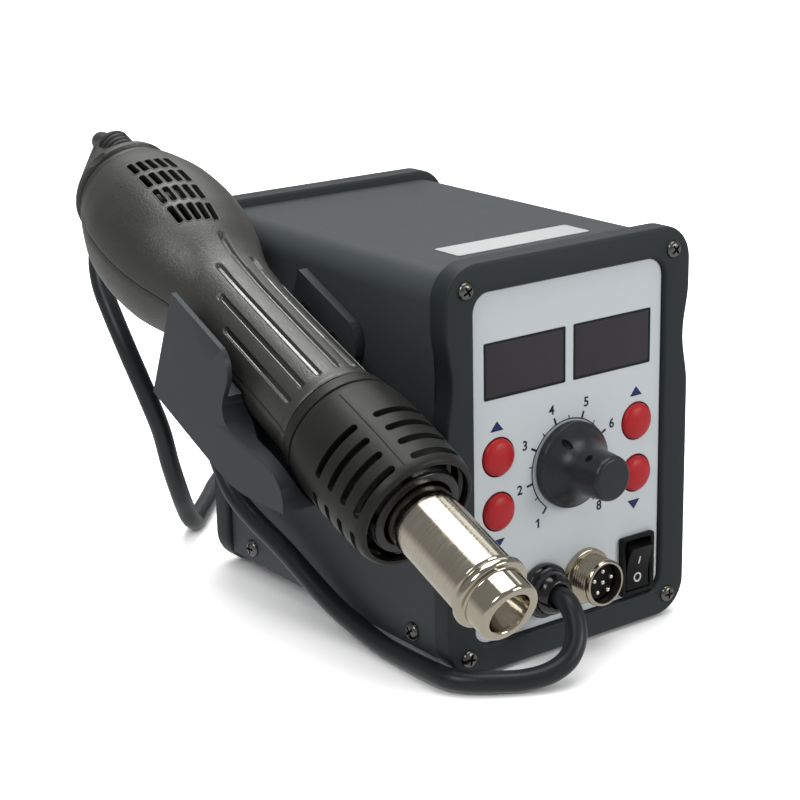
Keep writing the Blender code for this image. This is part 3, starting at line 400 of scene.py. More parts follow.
# ------------------------------------------------------------------ camera, light, floor
def build_stage():
    cam = bpy.data.cameras.new("camera")
    cam.sensor_width = 36.0
    cam.lens = 91.39
    cam.clip_start, cam.clip_end = 0.01, 20.0
    o = bpy.data.objects.new("camera", cam)
    COLL.objects.link(o)
    pos = (Vector((-415.87, -474.94, 269.40)) + OFF) * MM
    az, el, roll = math.radians(-36.24), math.radians(17.04), math.radians(-1.19)
    back = Vector((math.sin(az) * math.cos(el), -math.cos(az) * math.cos(el), math.sin(el)))
    right = Vector((math.cos(az), math.sin(az), 0.0))
    up = back.cross(right)
    r = right * math.cos(roll) + up * math.sin(roll)
    u = up * math.cos(roll) - right * math.sin(roll)
    o.matrix_world = Matrix(((r.x, u.x, back.x, pos.x), (r.y, u.y, back.y, pos.y), (r.z, u.z, back.z, pos.z), (0, 0, 0, 1)))
    bpy.context.scene.camera = o

    world = bpy.data.worlds.new("studio")
    world.use_nodes = True
    bg = world.node_tree.nodes["Background"]
    bg.inputs["Color"].default_value = (1.0, 1.0, 1.0, 1.0)
    tree = world.node_tree
    where = tree.nodes.new('ShaderNodeTexCoord')
    split = tree.nodes.new('ShaderNodeSeparateXYZ')
    ramp = tree.nodes.new('ShaderNodeMapRange')
    ramp.inputs["From Min"].default_value = -0.25
    ramp.inputs["From Max"].default_value = 0.10
    ramp.inputs["To Min"].default_value = 0.72
    ramp.inputs["To Max"].default_value = 0.30
    tree.links.new(where.outputs["Generated"], split.inputs[0])
    tree.links.new(split.outputs["Z"], ramp.inputs["Value"])
    tree.links.new(ramp.outputs["Result"], bg.inputs["Strength"])
    bpy.context.scene.world = world
    bpy.context.scene.view_settings.view_transform = 'Standard'

    def area(name, loc, target, size, watts):
        l = bpy.data.lights.new(name, 'AREA')
        l.shape = 'RECTANGLE'
        l.size, l.size_y = size
        l.energy = watts
        lo = bpy.data.objects.new(name, l)
        lo.location = loc
        lo.rotation_mode = 'QUATERNION'
        lo.rotation_quaternion = (Vector(target) - Vector(loc)).to_track_quat('-Z', 'Y')
        COLL.objects.link(lo)

    area("top_box", (0.15, 0.10, 1.55), (0.05, 0.02, 0.0), (1.15, 1.15), 15.5)
    area("front_box", (0.75, -1.25, 0.55), (0.03, -0.05, 0.08), (0.6, 0.6), 6.9)
    area("left_box", (-0.95, -0.35, 0.95), (-0.05, 0.0, 0.10), (0.5, 0.5), 4.8)
    area("back_box", (1.3, 1.75, 1.9), (1.3, 1.75, 0.0), (2.6, 2.6), 27.0)
    area("strip_box", (-0.068, 0.409, 1.448), (-0.051, 0.0, 0.11), (0.5, 0.12), 3.0)

    me = bpy.data.meshes.new("floor")
    bm = bmesh.new()
    bmesh.ops.create_grid(bm, x_segments=2, y_segments=2, size=6.0)
    bm.to_mesh(me)
    bm.free()
    fl = bpy.data.objects.new("floor", me)
    COLL.objects.link(fl)
    pale = material("floor_pale", "#fafafa", 0.8, var=0.01, fine=300, broad=3, bump=0.0)
    for n in pale.node_tree.nodes:
        if n.type == 'BSDF_PRINCIPLED':
            # painted contact shadow: the floor's glow is dimmed by ambient occlusion around the object
            contact_shadow_ao = pale.node_tree.nodes.new('ShaderNodeAmbientOcclusion')
            contact_shadow_ao.inputs["Distance"].default_value = 0.035
            curve = pale.node_tree.nodes.new('ShaderNodeMath')
            curve.operation = 'POWER'
            curve.inputs[1].default_value = 1.6
            gain = pale.node_tree.nodes.new('ShaderNodeMath')
            gain.operation = 'MULTIPLY'
            gain.inputs[1].default_value = 0.80
            pale.node_tree.links.new(contact_shadow_ao.outputs["AO"], curve.inputs[0])
            pale.node_tree.links.new(curve.outputs[0], gain.inputs[0])
            pale.node_tree.links.new(gain.outputs[0], n.inputs["Emission Strength"])
            n.inputs["Emission Color"].default_value = (1.0, 1.0, 1.0, 1.0)
    fl.data.materials.append(pale)
    fl.visible_diffuse = False
    fl.visible_glossy = False
    # pale wall far behind the floor, on every side
    me = bpy.data.meshes.new("backdrop")
    bm = bmesh.new()
    bmesh.ops.create_cone(bm, cap_ends=False, segments=64, radius1=5.4, radius2=5.4, depth=6.0, matrix=Matrix.Translation((0.0, 0.0, 2.99)))
    bm.to_mesh(me)
    bm.free()
    wall = bpy.data.objects.new("backdrop", me)
    COLL.objects.link(wall)
    plain = material("backdrop_pale", "#fafafa", 0.9, var=0.01, fine=300, broad=3, bump=0.0)
    for n in plain.node_tree.nodes:
        if n.type == 'BSDF_PRINCIPLED':
            n.inputs["Emission Color"].default_value = (1.0, 1.0, 1.0, 1.0)
            n.inputs["Emission Strength"].default_value = 0.95
    wall.data.materials.append(plain)
    wall.visible_diffuse = False
    wall.visible_glossy = False
    wall.visible_shadow = False


# ------------------------------------------------------------------ case
BEZ_HW, BEZ_Z0, BEZ_Z1, BEZ_R = 51.5, -10.0, 127.3, 12.0
DISP = ((-34.6, -2.45), (2.45, 34.6))
DISP_Z = (82.6, 99.85)
BTN = {"button_left_up": (-29.7, 62.4), "button_left_down": (-29.7, 44.0),
       "button_right_up": (29.7, 62.4), "button_right_down": (29.7, 44.0)}
KNOB_Z = 54.0
GLAND = (-11.6, 12.7)
SOCK = (7.6, 12.7)
ROCK = (29.8, 11.5)


def bezel_outline(n_arc=12, n_side=28):
    hw, r = BEZ_HW, BEZ_R
    pts = []
    for i in range(n_arc + 1):
        a = math.radians(-90 + 90.0 * i / n_arc)
        pts.append((hw - r + r * math.cos(a), BEZ_Z0 + r + r * math.sin(a)))
    for i in range(n_side + 1):
        z = 71.5 + 36.0 * i / n_side
        pts.append((hw - 2.2 * math.cos(0.5 * math.pi * (z - 89.5) / 18.0) ** 2, z))
    for i in range(n_arc + 1):
        a = math.radians(90.0 * i / n_arc)
        pts.append((hw - r + r * math.cos(a), BEZ_Z1 - r + r * math.sin(a)))
    return pts + [(-x, z) for x, z in reversed(pts)]


def control_holes():
    loops = [rrect(x0 - 0.2, x1 + 0.2, DISP_Z[0] - 0.2, DISP_Z[1] + 0.2, 0.6, 3) for x0, x1 in DISP]
    loops += [circle(x, z, 6.7) for x, z in BTN.values()]
    loops += [circle(0.0, KNOB_Z, 4.6, 24), circle(*GLAND, 6.7, 32), circle(*SOCK, 8.1, 32)]
    loops += [rrect(ROCK[0] - 6.8, ROCK[0] + 6.8, ROCK[1] - 9.8, ROCK[1] + 9.8, 0.4, 2)]
    return loops


def screw_mesh(r=3.0, h=1.5):
    """Pan head standing on z = 0 toward -z, with a pressed cross; millimetres."""
    prof = [(0.0, -h), (r * 0.45, -h * 0.97), (r * 0.75, -h * 0.78), (r * 0.93, -h * 0.42), (r, -0.05), (r * 0.96, 0.3), (0.0, 0.3)]
    bm = bmesh.new()
    add_lathe(bm, prof, 28)
    o = to_object("screw_tmp", bm)
    bm = bmesh.new()
    for ang in (0.0, math.pi / 2):
        rot = Matrix.Rotation(ang, 4, 'Z')
        vs = add_box(bm, (-r * 0.62, -r * 0.13, -h * 1.4), (r * 0.62, r * 0.13, -h * 0.35), rot)
    c = to_object("screw_cut", bm, None)
    c.data.materials.append(M["slotdark"])
    o.data.materials.append(M["screw"])
    o.data.materials.append(M["slotdark"])
    # overlapping bars are joined first so that the cross is one cutter
    m = o.modifiers.new("cross", 'BOOLEAN')
    m.operation = 'DIFFERENCE'
    m.solver = 'EXACT'
    m.use_self = True
    m.object = c
    bpy.context.view_layer.update()
    me = bpy.data.meshes.new_from_object(o.evaluated_get(bpy.context.evaluated_depsgraph_get()))
    # faces inside the cross get the near-black material: painted shade in the recess
    for p in me.polygons:
        inner = p.center.z < -h * 0.3 and p.center.z > -h * 1.05 and math.hypot(p.center.x, p.center.y) < r * 0.63 and (abs(p.normal.z) < 0.5 or p.center.z > -h * 0.5)
        p.material_index = 1 if inner else 0
    bpy.data.objects.remove(o, do_unlink=True)
    bpy.data.objects.remove(c, do_unlink=True)
    return me


def put_screw(name, me, matrix, nodes, turn):
    o = bpy.data.objects.new(name, me.copy())
    COLL.objects.link(o)
    o.data.transform(matrix @ Matrix.Rotation(turn, 4, 'Z'))
    o.data.transform(CASE)
    o.data.shade_smooth()
    o.data.set_sharp_from_angle(angle=math.radians(40))
    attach(o, "station")
    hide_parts(*nodes)


def build_case():
    # front bezel: rounded frame round the label, backing plate with the control holes
    lab_hole = rrect(-40.35, 40.35, -0.35, 117.35, 6.35, 10)
    fr = slab_bm([bezel_outline(), lab_hole], 'Y', -2.0, 6.5, 1.1, 3)
    back = slab_bm([rrect(-45.5, 45.5, -4.2, 121.7, 8.0)] + control_holes(), 'Y', 0.25, 3.2)
    place(to_object("front_bezel_shell", join_bm(fr, back), CASE), M["bezel"], "station", ["front_bezel"])

    place(slab("front_label_film", [rrect(-40.0, 40.0, 0.0, 117.0, 6.0, 10)] + control_holes(), 'Y', -0.2, 0.02), M["label"], "station", ["front_label"])

    # rear bezel
    rec = rrect(-41.0, 41.0, -1.0, 118.0, 6.0, 8)
    fr = slab_bm([bezel_outline(), rec], 'Y', 131.5, 140.0, 1.1, 3)
    back = slab_bm([rrect(-45.5, 45.5, -4.2, 121.7, 8.0), rrect(-13.9, 13.9, 14.1, 34.9, 0.6, 2)], 'Y', 135.2, 138.2)
    vents = []
    for i in range(9):
        vents.append(rrect(-26.0, 26.0, 62.0 + 5.2 * i, 64.2 + 5.2 * i, 1.1, 4))
    grille = slab_bm([rrect(-31.0, 31.0, 57.0, 109.0, 3.0, 5)] + vents, 'Y', 138.0, 139.2, 0.3, 2)
    place(to_object("rear_bezel_shell", join_bm(fr, back, grille), CASE), M["bezel"], "station", ["rear_bezel"])

    # cover: folded sheet
    def path(inset):
        hw, z1, r = 49.5 - inset, 124.0 - inset, 10.0 - inset
        pts = [(hw, -4.2), (hw, 30.0), (hw, 70.0)]
        for i in range(19):
            a = math.radians(90.0 * i / 18)
            pts.append((hw - r + r * math.cos(a), z1 - r + r * math.sin(a)))
        return pts + [(-x, z) for x, z in reversed(pts)]
    place(slab("case_cover_sheet", [path(0.0) + list(reversed(path(1.2)))], 'Y', 6.8, 131.2), M["cover"], "station", ["case_cover"])

    # feet
    for i, (x, y) in enumerate(((-36, 20), (36, 20), (-36, 118), (36, 118))):
        bm = bmesh.new()
        add_lathe(bm, fil([(0, -4.4), (5.4, -4.4, 0.4), (4.7, -10.95, 0.9), (1.6, -10.98, 0.3), (1.2, -10.0, 0.3), (0, -10.0)]), 32, False, Matrix.Translation((x, y, 0)))
        place(to_object("foot_pad_%d" % (i + 1), bm, CASE), M["rubber"], "station", ["foot_%d" % (i + 1)])

    # screws
    me = screw_mesh()
    k = 0
    for sx in (-1, 1):
        for z in (119.2, -2.8):
            k += 1
            put_screw("bezel_screw_%d" % k, me, Matrix.Translation((0, -1.95, 0)) @ y_matrix(sx * 43.65, z), ["front_screw_%d" % k], 0.35 + 0.7 * k)
            put_screw("back_screw_%d" % k, me, Matrix.Translation((sx * 43.65, 139.95, z)) @ Matrix.Rotation(math.radians(90), 4, 'X'), ["rear_screw_%d" % k], 0.2 + 0.5 * k)
    big = screw_mesh(3.3, 1.7)
    k = 0
    for sx in (-1, 1):
        for y in (20.3, 117.7):
            k += 1
            put_screw("side_screw_%d" % k, big, Matrix.Translation((sx * 49.55, y, 1.1)) @ Matrix.Rotation(math.radians(-90 * sx), 4, 'Y'), ["cover_screw_%d" % k], 0.3 + 0.6 * k)

    place(slab("top_label_blank", [rrect(-29.0, 26.6, 20.0, 32.8, 0.8, 4)], 'Z', 124.02, 124.3, 0.05, 1), M["paper"], "station", ["top_sticker"])


# ------------------------------------------------------------------ printed marks
def mark(name, loops, mat, y0=-0.27, y1=-0.19):
    return place(slab(name, loops, 'Y', y0, y1), mat, "station")


def ring_sector(cx, cz, r0, r1, a0, a1, n=72):
    out = []
    for i in range(n + 1):
        a = math.radians(a0 + (a1 - a0) * i / n)
        out.append((cx + r1 * math.cos(a), cz + r1 * math.sin(a)))
    for i in range(n + 1):
        a = math.radians(a1 + (a0 - a1) * i / n)
        out.append((cx + r0 * math.cos(a), cz + r0 * math.sin(a)))
    return out


def build_marks():
    # displays: black outline round each window
    for i, (x0, x1) in enumerate(DISP):
        place(slab("display_outline_%d" % (i + 1), [rrect(x0 - 0.75, x1 + 0.75, DISP_Z[0] - 0.75, DISP_Z[1] + 0.75, 0.5, 3),
                                                    rrect(x0 + 0.05, x1 - 0.05, DISP_Z[0] + 0.05, DISP_Z[1] - 0.05, 0.4, 3)], 'Y', -0.32, -0.18), M["outline"], "station")
    # triangles: navy rim with blue middle
    def tri(x, z, s, up):
        d = 1.0 if up else -1.0
        return [(x - 2.4 * s, z - 1.45 * s * d), (x + 2.4 * s, z - 1.45 * s * d), (x, z + 1.45 * s * d)]
    for i, (x, z, up) in enumerate(((-30.2, 72.8, True), (29.4, 72.9, True), (29.1, 32.9, False), (-29.9, 32.9, False))):
        mark("arrow_rim_%d" % (i + 1), [tri(x, z, 1.12, up)], M["ink"])
        d = 1.0 if up else -1.0
        mark("arrow_fill_%d" % (i + 1), [tri(x, z - 0.13 * d, 0.74, up)], M["blue"], -0.31, -0.24)
    # dial
    cx, cz = 0.0, 53.4
    mark("dial_ring", [ring_sector(cx, cz, 15.55, 15.95, 232.5, -52.4)], M["ink"])
    loops = []
    for k in range(15):
        a = 232.5 - 40.7 * k / 2
        long = k % 2 == 0
        w = 0.38 if long else 0.2
        r0, r1 = 15.7, (18.3 if long else 17.1)
        ca, sa = math.cos(math.radians(a)), math.sin(math.radians(a))
        loops.append([(cx + r0 * ca - w * sa, cz + r0 * sa + w * ca), (cx + r0 * ca + w * sa, cz + r0 * sa - w * ca),
                      (cx + r1 * ca + w * sa, cz + r1 * sa - w * ca), (cx + r1 * ca - w * sa, cz + r1 * sa + w * ca)])
    bm = join_bm(*[slab_bm([l], 'Y', -0.265, -0.19) for l in loops])
    place(to_object("dial_ticks", bm, CASE), M["ink"], "station")
    a = math.radians(232.5)
    one = ((-0.05, -1.6), (0.65, -1.6), (0.65, 1.6), (0.1, 1.6), (-0.85, 0.95), (-0.85, 0.4), (-0.05, 0.85))
    mark("dial_number_1", [[(cx + 21.9 * math.cos(a) + u, cz + 21.9 * math.sin(a) + v) for u, v in one]], M["ink"])
    for k in range(1, 8):
        a = math.radians(232.5 - 40.7 * k)
        cu =bpy.data.curves.new("digit", 'FONT')
        cu.body = str(k + 1)
        cu.size = 4.5
        cu.align_x, cu.align_y = 'CENTER', 'CENTER'
        cu.extrude = 0.035
        cu.offset = 0.11
        tmp = bpy.data.objects.new("digit", cu)
        COLL.objects.link(tmp)
        me = bpy.data.meshes.new_from_object(tmp.evaluated_get(bpy.context.evaluated_depsgraph_get()))
        bpy.data.objects.remove(tmp, do_unlink=True)
        bm = bmesh.new()
        bm.from_mesh(me)
        bpy.data.meshes.remove(me)
        r = 21.3 if k != 7 else 21.9
        bm.transform(Matrix.Translation((cx + r * math.cos(a), -0.225, cz + r * math.sin(a))) @ TURN['Y'])
        place(to_object("dial_number_%d" % (k + 1), bm, CASE), M["ink"], "station")


# ------------------------------------------------------------------ controls
def build_controls():
    for i, (x0, x1) in enumerate(DISP):
        side = ("left", "right")[i]
        place(slab("display_glass_" + side, [rrect(x0 + 0.05, x1 - 0.05, DISP_Z[0] + 0.05, DISP_Z[1] - 0.05, 0.5, 3)], 'Y', -0.28, 3.0, 0.12, 2),
              M["window"], "station", ["display_window_" + side])
        paint("led_module_" + side, M["led"])

    for n, (x, z) in BTN.items():
        prof = fil([(0, -2.55), (2.6, -2.42), (4.7, -1.95), (5.85, -1.25), (6.2, -0.5, 0.3), (6.2, 3.75), (7.4, 3.75), (7.4, 4.8), (2.0, 4.8), (2.0, 8.6), (0, 8.6)])
        place(lathe_y(n + "_dome", x, z, prof, 48), M["red"], n + "_cap", [n])

    # knob: flat skirt rim, coned flank, round cap
    prof = fil([(0, -22.0), (6.75, -22.0, 0.9), (7.55, -20.9, 0.6), (8.35, -11.4, 2.2), (9.9, -7.9, 2.2), (13.3, -4.3, 0.5), (13.9, -3.9, 0.5), (14.6, -3.3, 0.5), (14.6, -0.8, 0.3),
                (13.2, -0.8), (13.0, -1.6), (6.6, -1.6), (6.6, -3.9), (3.4, -3.9), (3.4, -15.4), (0, -15.4)], 5)
    knob = lathe_y("air_knob_cap", 0.0, KNOB_Z, prof, 72)
    bm = bmesh.new()
    for x, y, z, sc, ang in ((-6.3, -6.6, 63.4, (1.25, 2.2, 2.4), 0.62), (-4.75, -15.3, 60.5, (1.5, 1.15, 2.2), 0.62)):
        bmesh.ops.create_uvsphere(bm, u_segments=20, v_segments=12, radius=1.0,
                                  matrix=Matrix.Translation((x, y, z)) @ Matrix.Rotation(-ang, 4, 'Y') @ Matrix.Diagonal((*sc, 1.0)))
    carve(knob, to_object("knob_cut", bm, CASE))
    knob.data.shade_smooth()
    knob.data.set_sharp_from_angle(angle=math.radians(38))
    place(knob, M["knob"], "knob", ["air_knob"])
    for n in ("potentiometer", "potentiometer_shaft", "pot_nut", "socket_nut"):
        paint(n, M["nickel"])
    paint("control_board", M["board"])

    # gland: flange, nut, domed front
    bm = bmesh.new()
    n = 96
    prof = fil([(4.3, 9.0), (6.2, 9.0, 0.4), (6.2, -0.6), (9.3, -0.6, 0.4), (9.4, -3.0, 1.1), (8.3, -4.2, 0.5), (7.6, -4.0, 0.3), (7.3, -6.6, 1.0), (6.2, -8.4, 0.9), (5.2, -9.4, 0.6), (4.3, -9.2)], 5)
    vs = add_lathe(bm, prof, n, True)
    bm.transform(y_matrix(*GLAND))
    place(to_object("hose_gland_nut", bm, CASE, 50), M["gloss"], "station", ["hose_gland"])
    paint("gland_nut", M["switch"])

    # iron socket: washer, threaded barrel, black insert and pins
    th = [(9.6, -0.25, 0.2), (9.6, -2.0, 0.5), (8.1, -2.3)]
    for i in range(6):
        t = -2.6 - 1.12 * i
        th += [(8.1, t), (7.7, t - 0.35), (7.7, t - 0.6), (8.1, t - 0.95)]
    th += [(8.05, -9.7, 0.2), (7.6, -10.6, 0.3), (6.85, -10.6, 0.2), (6.8, 8.0), (7.5, 8.0), (7.5, -0.25)]
    pts = fil(th, 3)
    place(lathe_y("iron_socket_shell", *SOCK, pts, 64, True, 28), M["nickel"], "station", ["iron_socket"])
    bm = bmesh.new()
    add_lathe(bm, fil([(0, -7.2), (5.2, -7.2), (6.4, -6.9, 0.3), (6.4, 6.0), (0, 6.0)]), 40, False, y_matrix(*SOCK))
    for f in bm.faces:
        f.material_index = 0
    first = len(bm.faces)
    for x, z in [(0.0, 0.0)] + [(3.9 * math.cos(math.radians(90 + 72 * i)), 3.9 * math.sin(math.radians(90 + 72 * i))) for i in range(5)]:
        add_lathe(bm, fil([(0, -9.4), (0.7, -9.2, 0.4), (0.85, -8.6), (0.85, -6.5), (0, -6.5)], 3), 14, False, y_matrix(SOCK[0] + x, SOCK[1] + z), lambda j: 1)
    place(to_object("socket_insert_pins", bm, CASE), [M["switch"], M["pin"]], "station", ["socket_insert"])

    # rocker switch: stepped frame, curved rocker, marks
    x, z = ROCK
    outer = rrect(x - 7.5, x + 7.5, z - 10.6, z + 10.6, 1.2, 5)
    inner = rrect(x - 5.5, x + 5.5, z - 9.1, z + 9.1, 0.4, 3)
    frm = slab_bm([outer, inner], 'Y', -2.3, -0.25, 0.5, 3)
    body = slab_bm([rrect(x - 6.5, x + 6.5, z - 9.5, z + 9.5, 0.3, 2), rrect(x - 5.5, x + 5.5, z - 9.1, z + 9.1, 0.2, 2)], 'Y', -0.3, 11.0)
    bottom = slab_bm([rrect(x - 6.5, x + 6.5, z - 9.5, z + 9.5, 0.3, 2)], 'Y', 10.5, 13.0)
    place(to_object("rocker_surround", join_bm(frm, body, bottom), CASE), M["switch"], "station", ["rocker_frame"])
    tilt = math.radians(10.0)
    prof = [(8.0, -4.2)]
    for i in range(1, 16):
        zz = 8.0 - i
        prof.append((zz, -2.9 - 1.3 * (zz / 8.0) ** 2))
    prof += [(-8.0, -4.2), (-7.6, 0.9), (-5.0, 3.2), (0.0, 4.2), (5.0, 3.2), (7.6, 0.9)]
    piv = 0.6

    def tip(y, zz):
        return (piv + y * math.cos(tilt) - zz * math.sin(tilt), z + zz * math.cos(tilt) + y * math.sin(tilt))
    rk = slab("rocker_paddle", [[tip(y, zz) for zz, y in prof]], 'X', x - 5.1, x + 5.1, 0.25, 2, 30)
    place(rk, M["switch"], "switch", ["rocker"])

    def on_face(loop, y0, y1):
        bm = slab_bm(loop, 'Y', y0, y1)
        for v in bm.verts:
            v.co.y -= 1.3 * (v.co.z / 8.0) ** 2
        mrot =Matrix(((1, 0, 0, x), (0, math.cos(tilt), -math.sin(tilt), piv), (0, math.sin(tilt), math.cos(tilt), z), (0, 0, 0, 1)))
        bm.transform(mrot)
        return bm
    place(to_object("rocker_mark_bar", on_face([rrect(-0.28, 0.28, 0.9, 3.9, 0.2, 2)], -2.98, -2.7), CASE), M["white"], "switch")
    place(to_object("rocker_mark_ring", on_face([circle(0.0, -4.2, 1.7, 28), circle(0.0, -4.2, 1.15, 28)], -2.98, -2.7), CASE), M["white"], "switch")

    # mains inlet: flanged frame, deep mouth and blades
    fl = slab_bm([rrect(-16.5, 16.5, 12.0, 37.0, 3.0, 6), rrect(-12.0, 12.0, 16.5, 32.5, 1.5, 5)], 'Y', 138.4, 140.5, 0.5, 2)
    tube = slab_bm([rrect(-13.5, 13.5, 14.5, 34.5, 1.0, 3), rrect(-12.0, 12.0, 16.5, 32.5, 1.5, 5)], 'Y', 119.0, 138.8)
    end = slab_bm([rrect(-13.5, 13.5, 14.5, 34.5, 1.0, 3)], 'Y', 116.0, 119.5)
    blades = [slab_bm([rrect(bx - 1.0, bx + 1.0, bz - 2.0, bz + 2.0, 0.3, 2)], 'Y', 119.2, 134.0, 0.25, 2) for bx, bz in ((-7.0, 21.5), (7.0, 21.5), (0.0, 27.5))]
    bm = join_bm(fl, tube, end)
    base_n = len(bm.faces)
    bm2 = join_bm(bm, *blades)
    bm2.faces.ensure_lookup_table()
    for f in bm2.faces[base_n:]:
        f.material_index = 1
    place(to_object("mains_inlet_socket", bm2, CASE), [M["switch"], M["pin"]], "station", ["mains_inlet"])

    paint("transformer_core", M["iron"])
    paint("transformer_coil", M["tape"])
    paint("base_plate", M["cover"])


# ------------------------------------------------------------------ cradle
PROFILE = ((81.0, 18.9), (86.0, 18.0), (130.0, 17.6), (147.0, 18.4), (153.0, 19.6), (165.0, 23.6), (174.0, 25.6),
           (184.0, 26.3), (195.0, 25.6), (206.0, 22.6), (217.0, 18.0))


def radius(s):
    """Smooth profile through the grip's stations."""
    P = PROFILE
    if s <= P[0][0]:
        return P[0][1]
    if s >= P[-1][0]:
        return P[-1][1]
    for i in range(len(P) - 1):
        if s <= P[i + 1][0]:
            break
    def slope(k):
        if k <= 0 or k >= len(P) - 1:
            k = min(max(k, 0), len(P) - 1)
            a, b = (0, 1) if k == 0 else (len(P) - 2, len(P) - 1)
            return (P[b][1] - P[a][1]) / (P[b][0] - P[a][0])
        d0 = (P[k][1] - P[k - 1][1]) / (P[k][0] - P[k - 1][0])
        d1 = (P[k + 1][1] - P[k][1]) / (P[k + 1][0] - P[k][0])
        return 0.0 if d0 * d1 <= 0 else 2 * d0 * d1 / (d0 + d1)
    (s0, r0), (s1, r1) = P[i], P[i + 1]
    h = s1 - s0
    t = (s - s0) / h
    return (2 * t ** 3 - 3 * t ** 2 + 1) * r0 + (t ** 3 - 2 * t ** 2 + t) * h * slope(i) + (-2 * t ** 3 + 3 * t ** 2) * r1 + (t ** 3 - t ** 2) * h * slope(i + 1)


def smooth_loop(pts, steps=5):
    """Closed Catmull-Rom through outline points; a point with a third value stays a corner."""
    out = []
    n = len(pts)
    for i in range(n):
        a, b, c, d = [Vector(pts[(i + k) % n][:2]) for k in (-1, 0, 1, 2)]
        if len(pts[i]) > 2:
            a = b * 2 - c
        if len(pts[(i + 1) % n]) > 2:
            d = c * 2 - b
        for k in range(steps):
            t = k / steps
            q = 0.5 * ((2 * b) + (c - a) * t + (2 * a - 5 * b + 4 * c - d) * t * t + (3 * b - a - 3 * c + d) * t ** 3)
            out.append((q.x, q.y))
    return out


def build_cradle():
    outline = [(75.5, 113.7, 1), (47.2, 101.4, 1), (44.6, 98.8), (43.6, 95.0), (44.0, 91.0), (46.2, 86.5), (47.6, 82.0), (46.4, 77.6),
               (41.5, 74.6), (34.0, 73.0), (27.4, 71.4), (21.0, 68.4), (16.6, 64.6), (14.8, 60.5), (14.6, 56.0, 1), (30.0, 55.8),
               (40.7, 56.6), (52.4, 60.2), (90.9, 77.3, 1)]
    o = slab("handle_cradle", [smooth_loop(outline)], 'X', -102.0, -49.8)
    seat = fil([(0, 36.0), (22.0, 36.0), (22.0, 92.0), (20.0, 98.0, 3), (radius(104) + 0.45, 104.0, 2), (radius(130) + 0.45, 130.0), (radius(147) + 0.55, 147.0, 3),
                (radius(152) + 0.95, 152.0, 2), (24.0, 160.0), (24.0, 178.0), (0, 178.0)], 4)
    carve(o, lathe_h("seat_cut", seat, 120))
    bm = bmesh.new()
    add_box(bm, (-23.8, -3.0, 36.0), (23.2, 48.0, 178.0))
    bm.transform(Matrix.Scale(MM, 4))
    c = to_object("slot_cut", bm)
    c.matrix_world = HFRAME
    carve(o, c)
    bm = bmesh.new()
    bm.from_mesh(o.data)
    bmesh.ops.remove_doubles(bm, verts=bm.verts, dist=2e-6)
    bmesh.ops.dissolve_limit(bm, angle_limit=math.radians(0.5), verts=bm.verts, edges=bm.edges)
    bm.to_mesh(o.data)
    bm.free()
    o.data.shade_smooth()
    soften(o, 0.0006, 3, 24)
    wn = o.modifiers.new("weights", 'WEIGHTED_NORMAL')
    wn.mode = 'FACE_AREA'
    wn.weight = 100
    place(o, M["cradle"], "station", ["handle_holder"])
    for n in ("holder_screw_1", "holder_screw_2"):
        paint(n, M["screw"])


# ------------------------------------------------------------------ handle
GROOVES = ((62, 124.0), (42, 135.0), (22, 146.0), (0, 157.0), (-20, 146.0), (-40, 135.0), (-62, 124.0))


def rise(s):
    """The grip's tail end sits a little higher than its axis."""
    t = min(1.0, max(0.0, (s - 195.0) / 22.0))
    return 1.0 * t * t * (3 - 2 * t)


def groove_depth(s, phi):
    """Depth of the long grip grooves at a point, 0 to 1."""
    best = 0.0
    for g, end in GROOVES:
        r = radius(s)
        lat = math.radians(phi - g) * r
        lon = 0.0
        if s < 86.4:
            lon = 86.4 - s
        elif s > end:
            lon = s - end
        d = math.hypot(lat, lon)
        w = 0.85
        if d < w + 0.3:
            best = max(best, min(1.0, max(0.0, (w + 0.3 - d) / 0.4)))
    return best


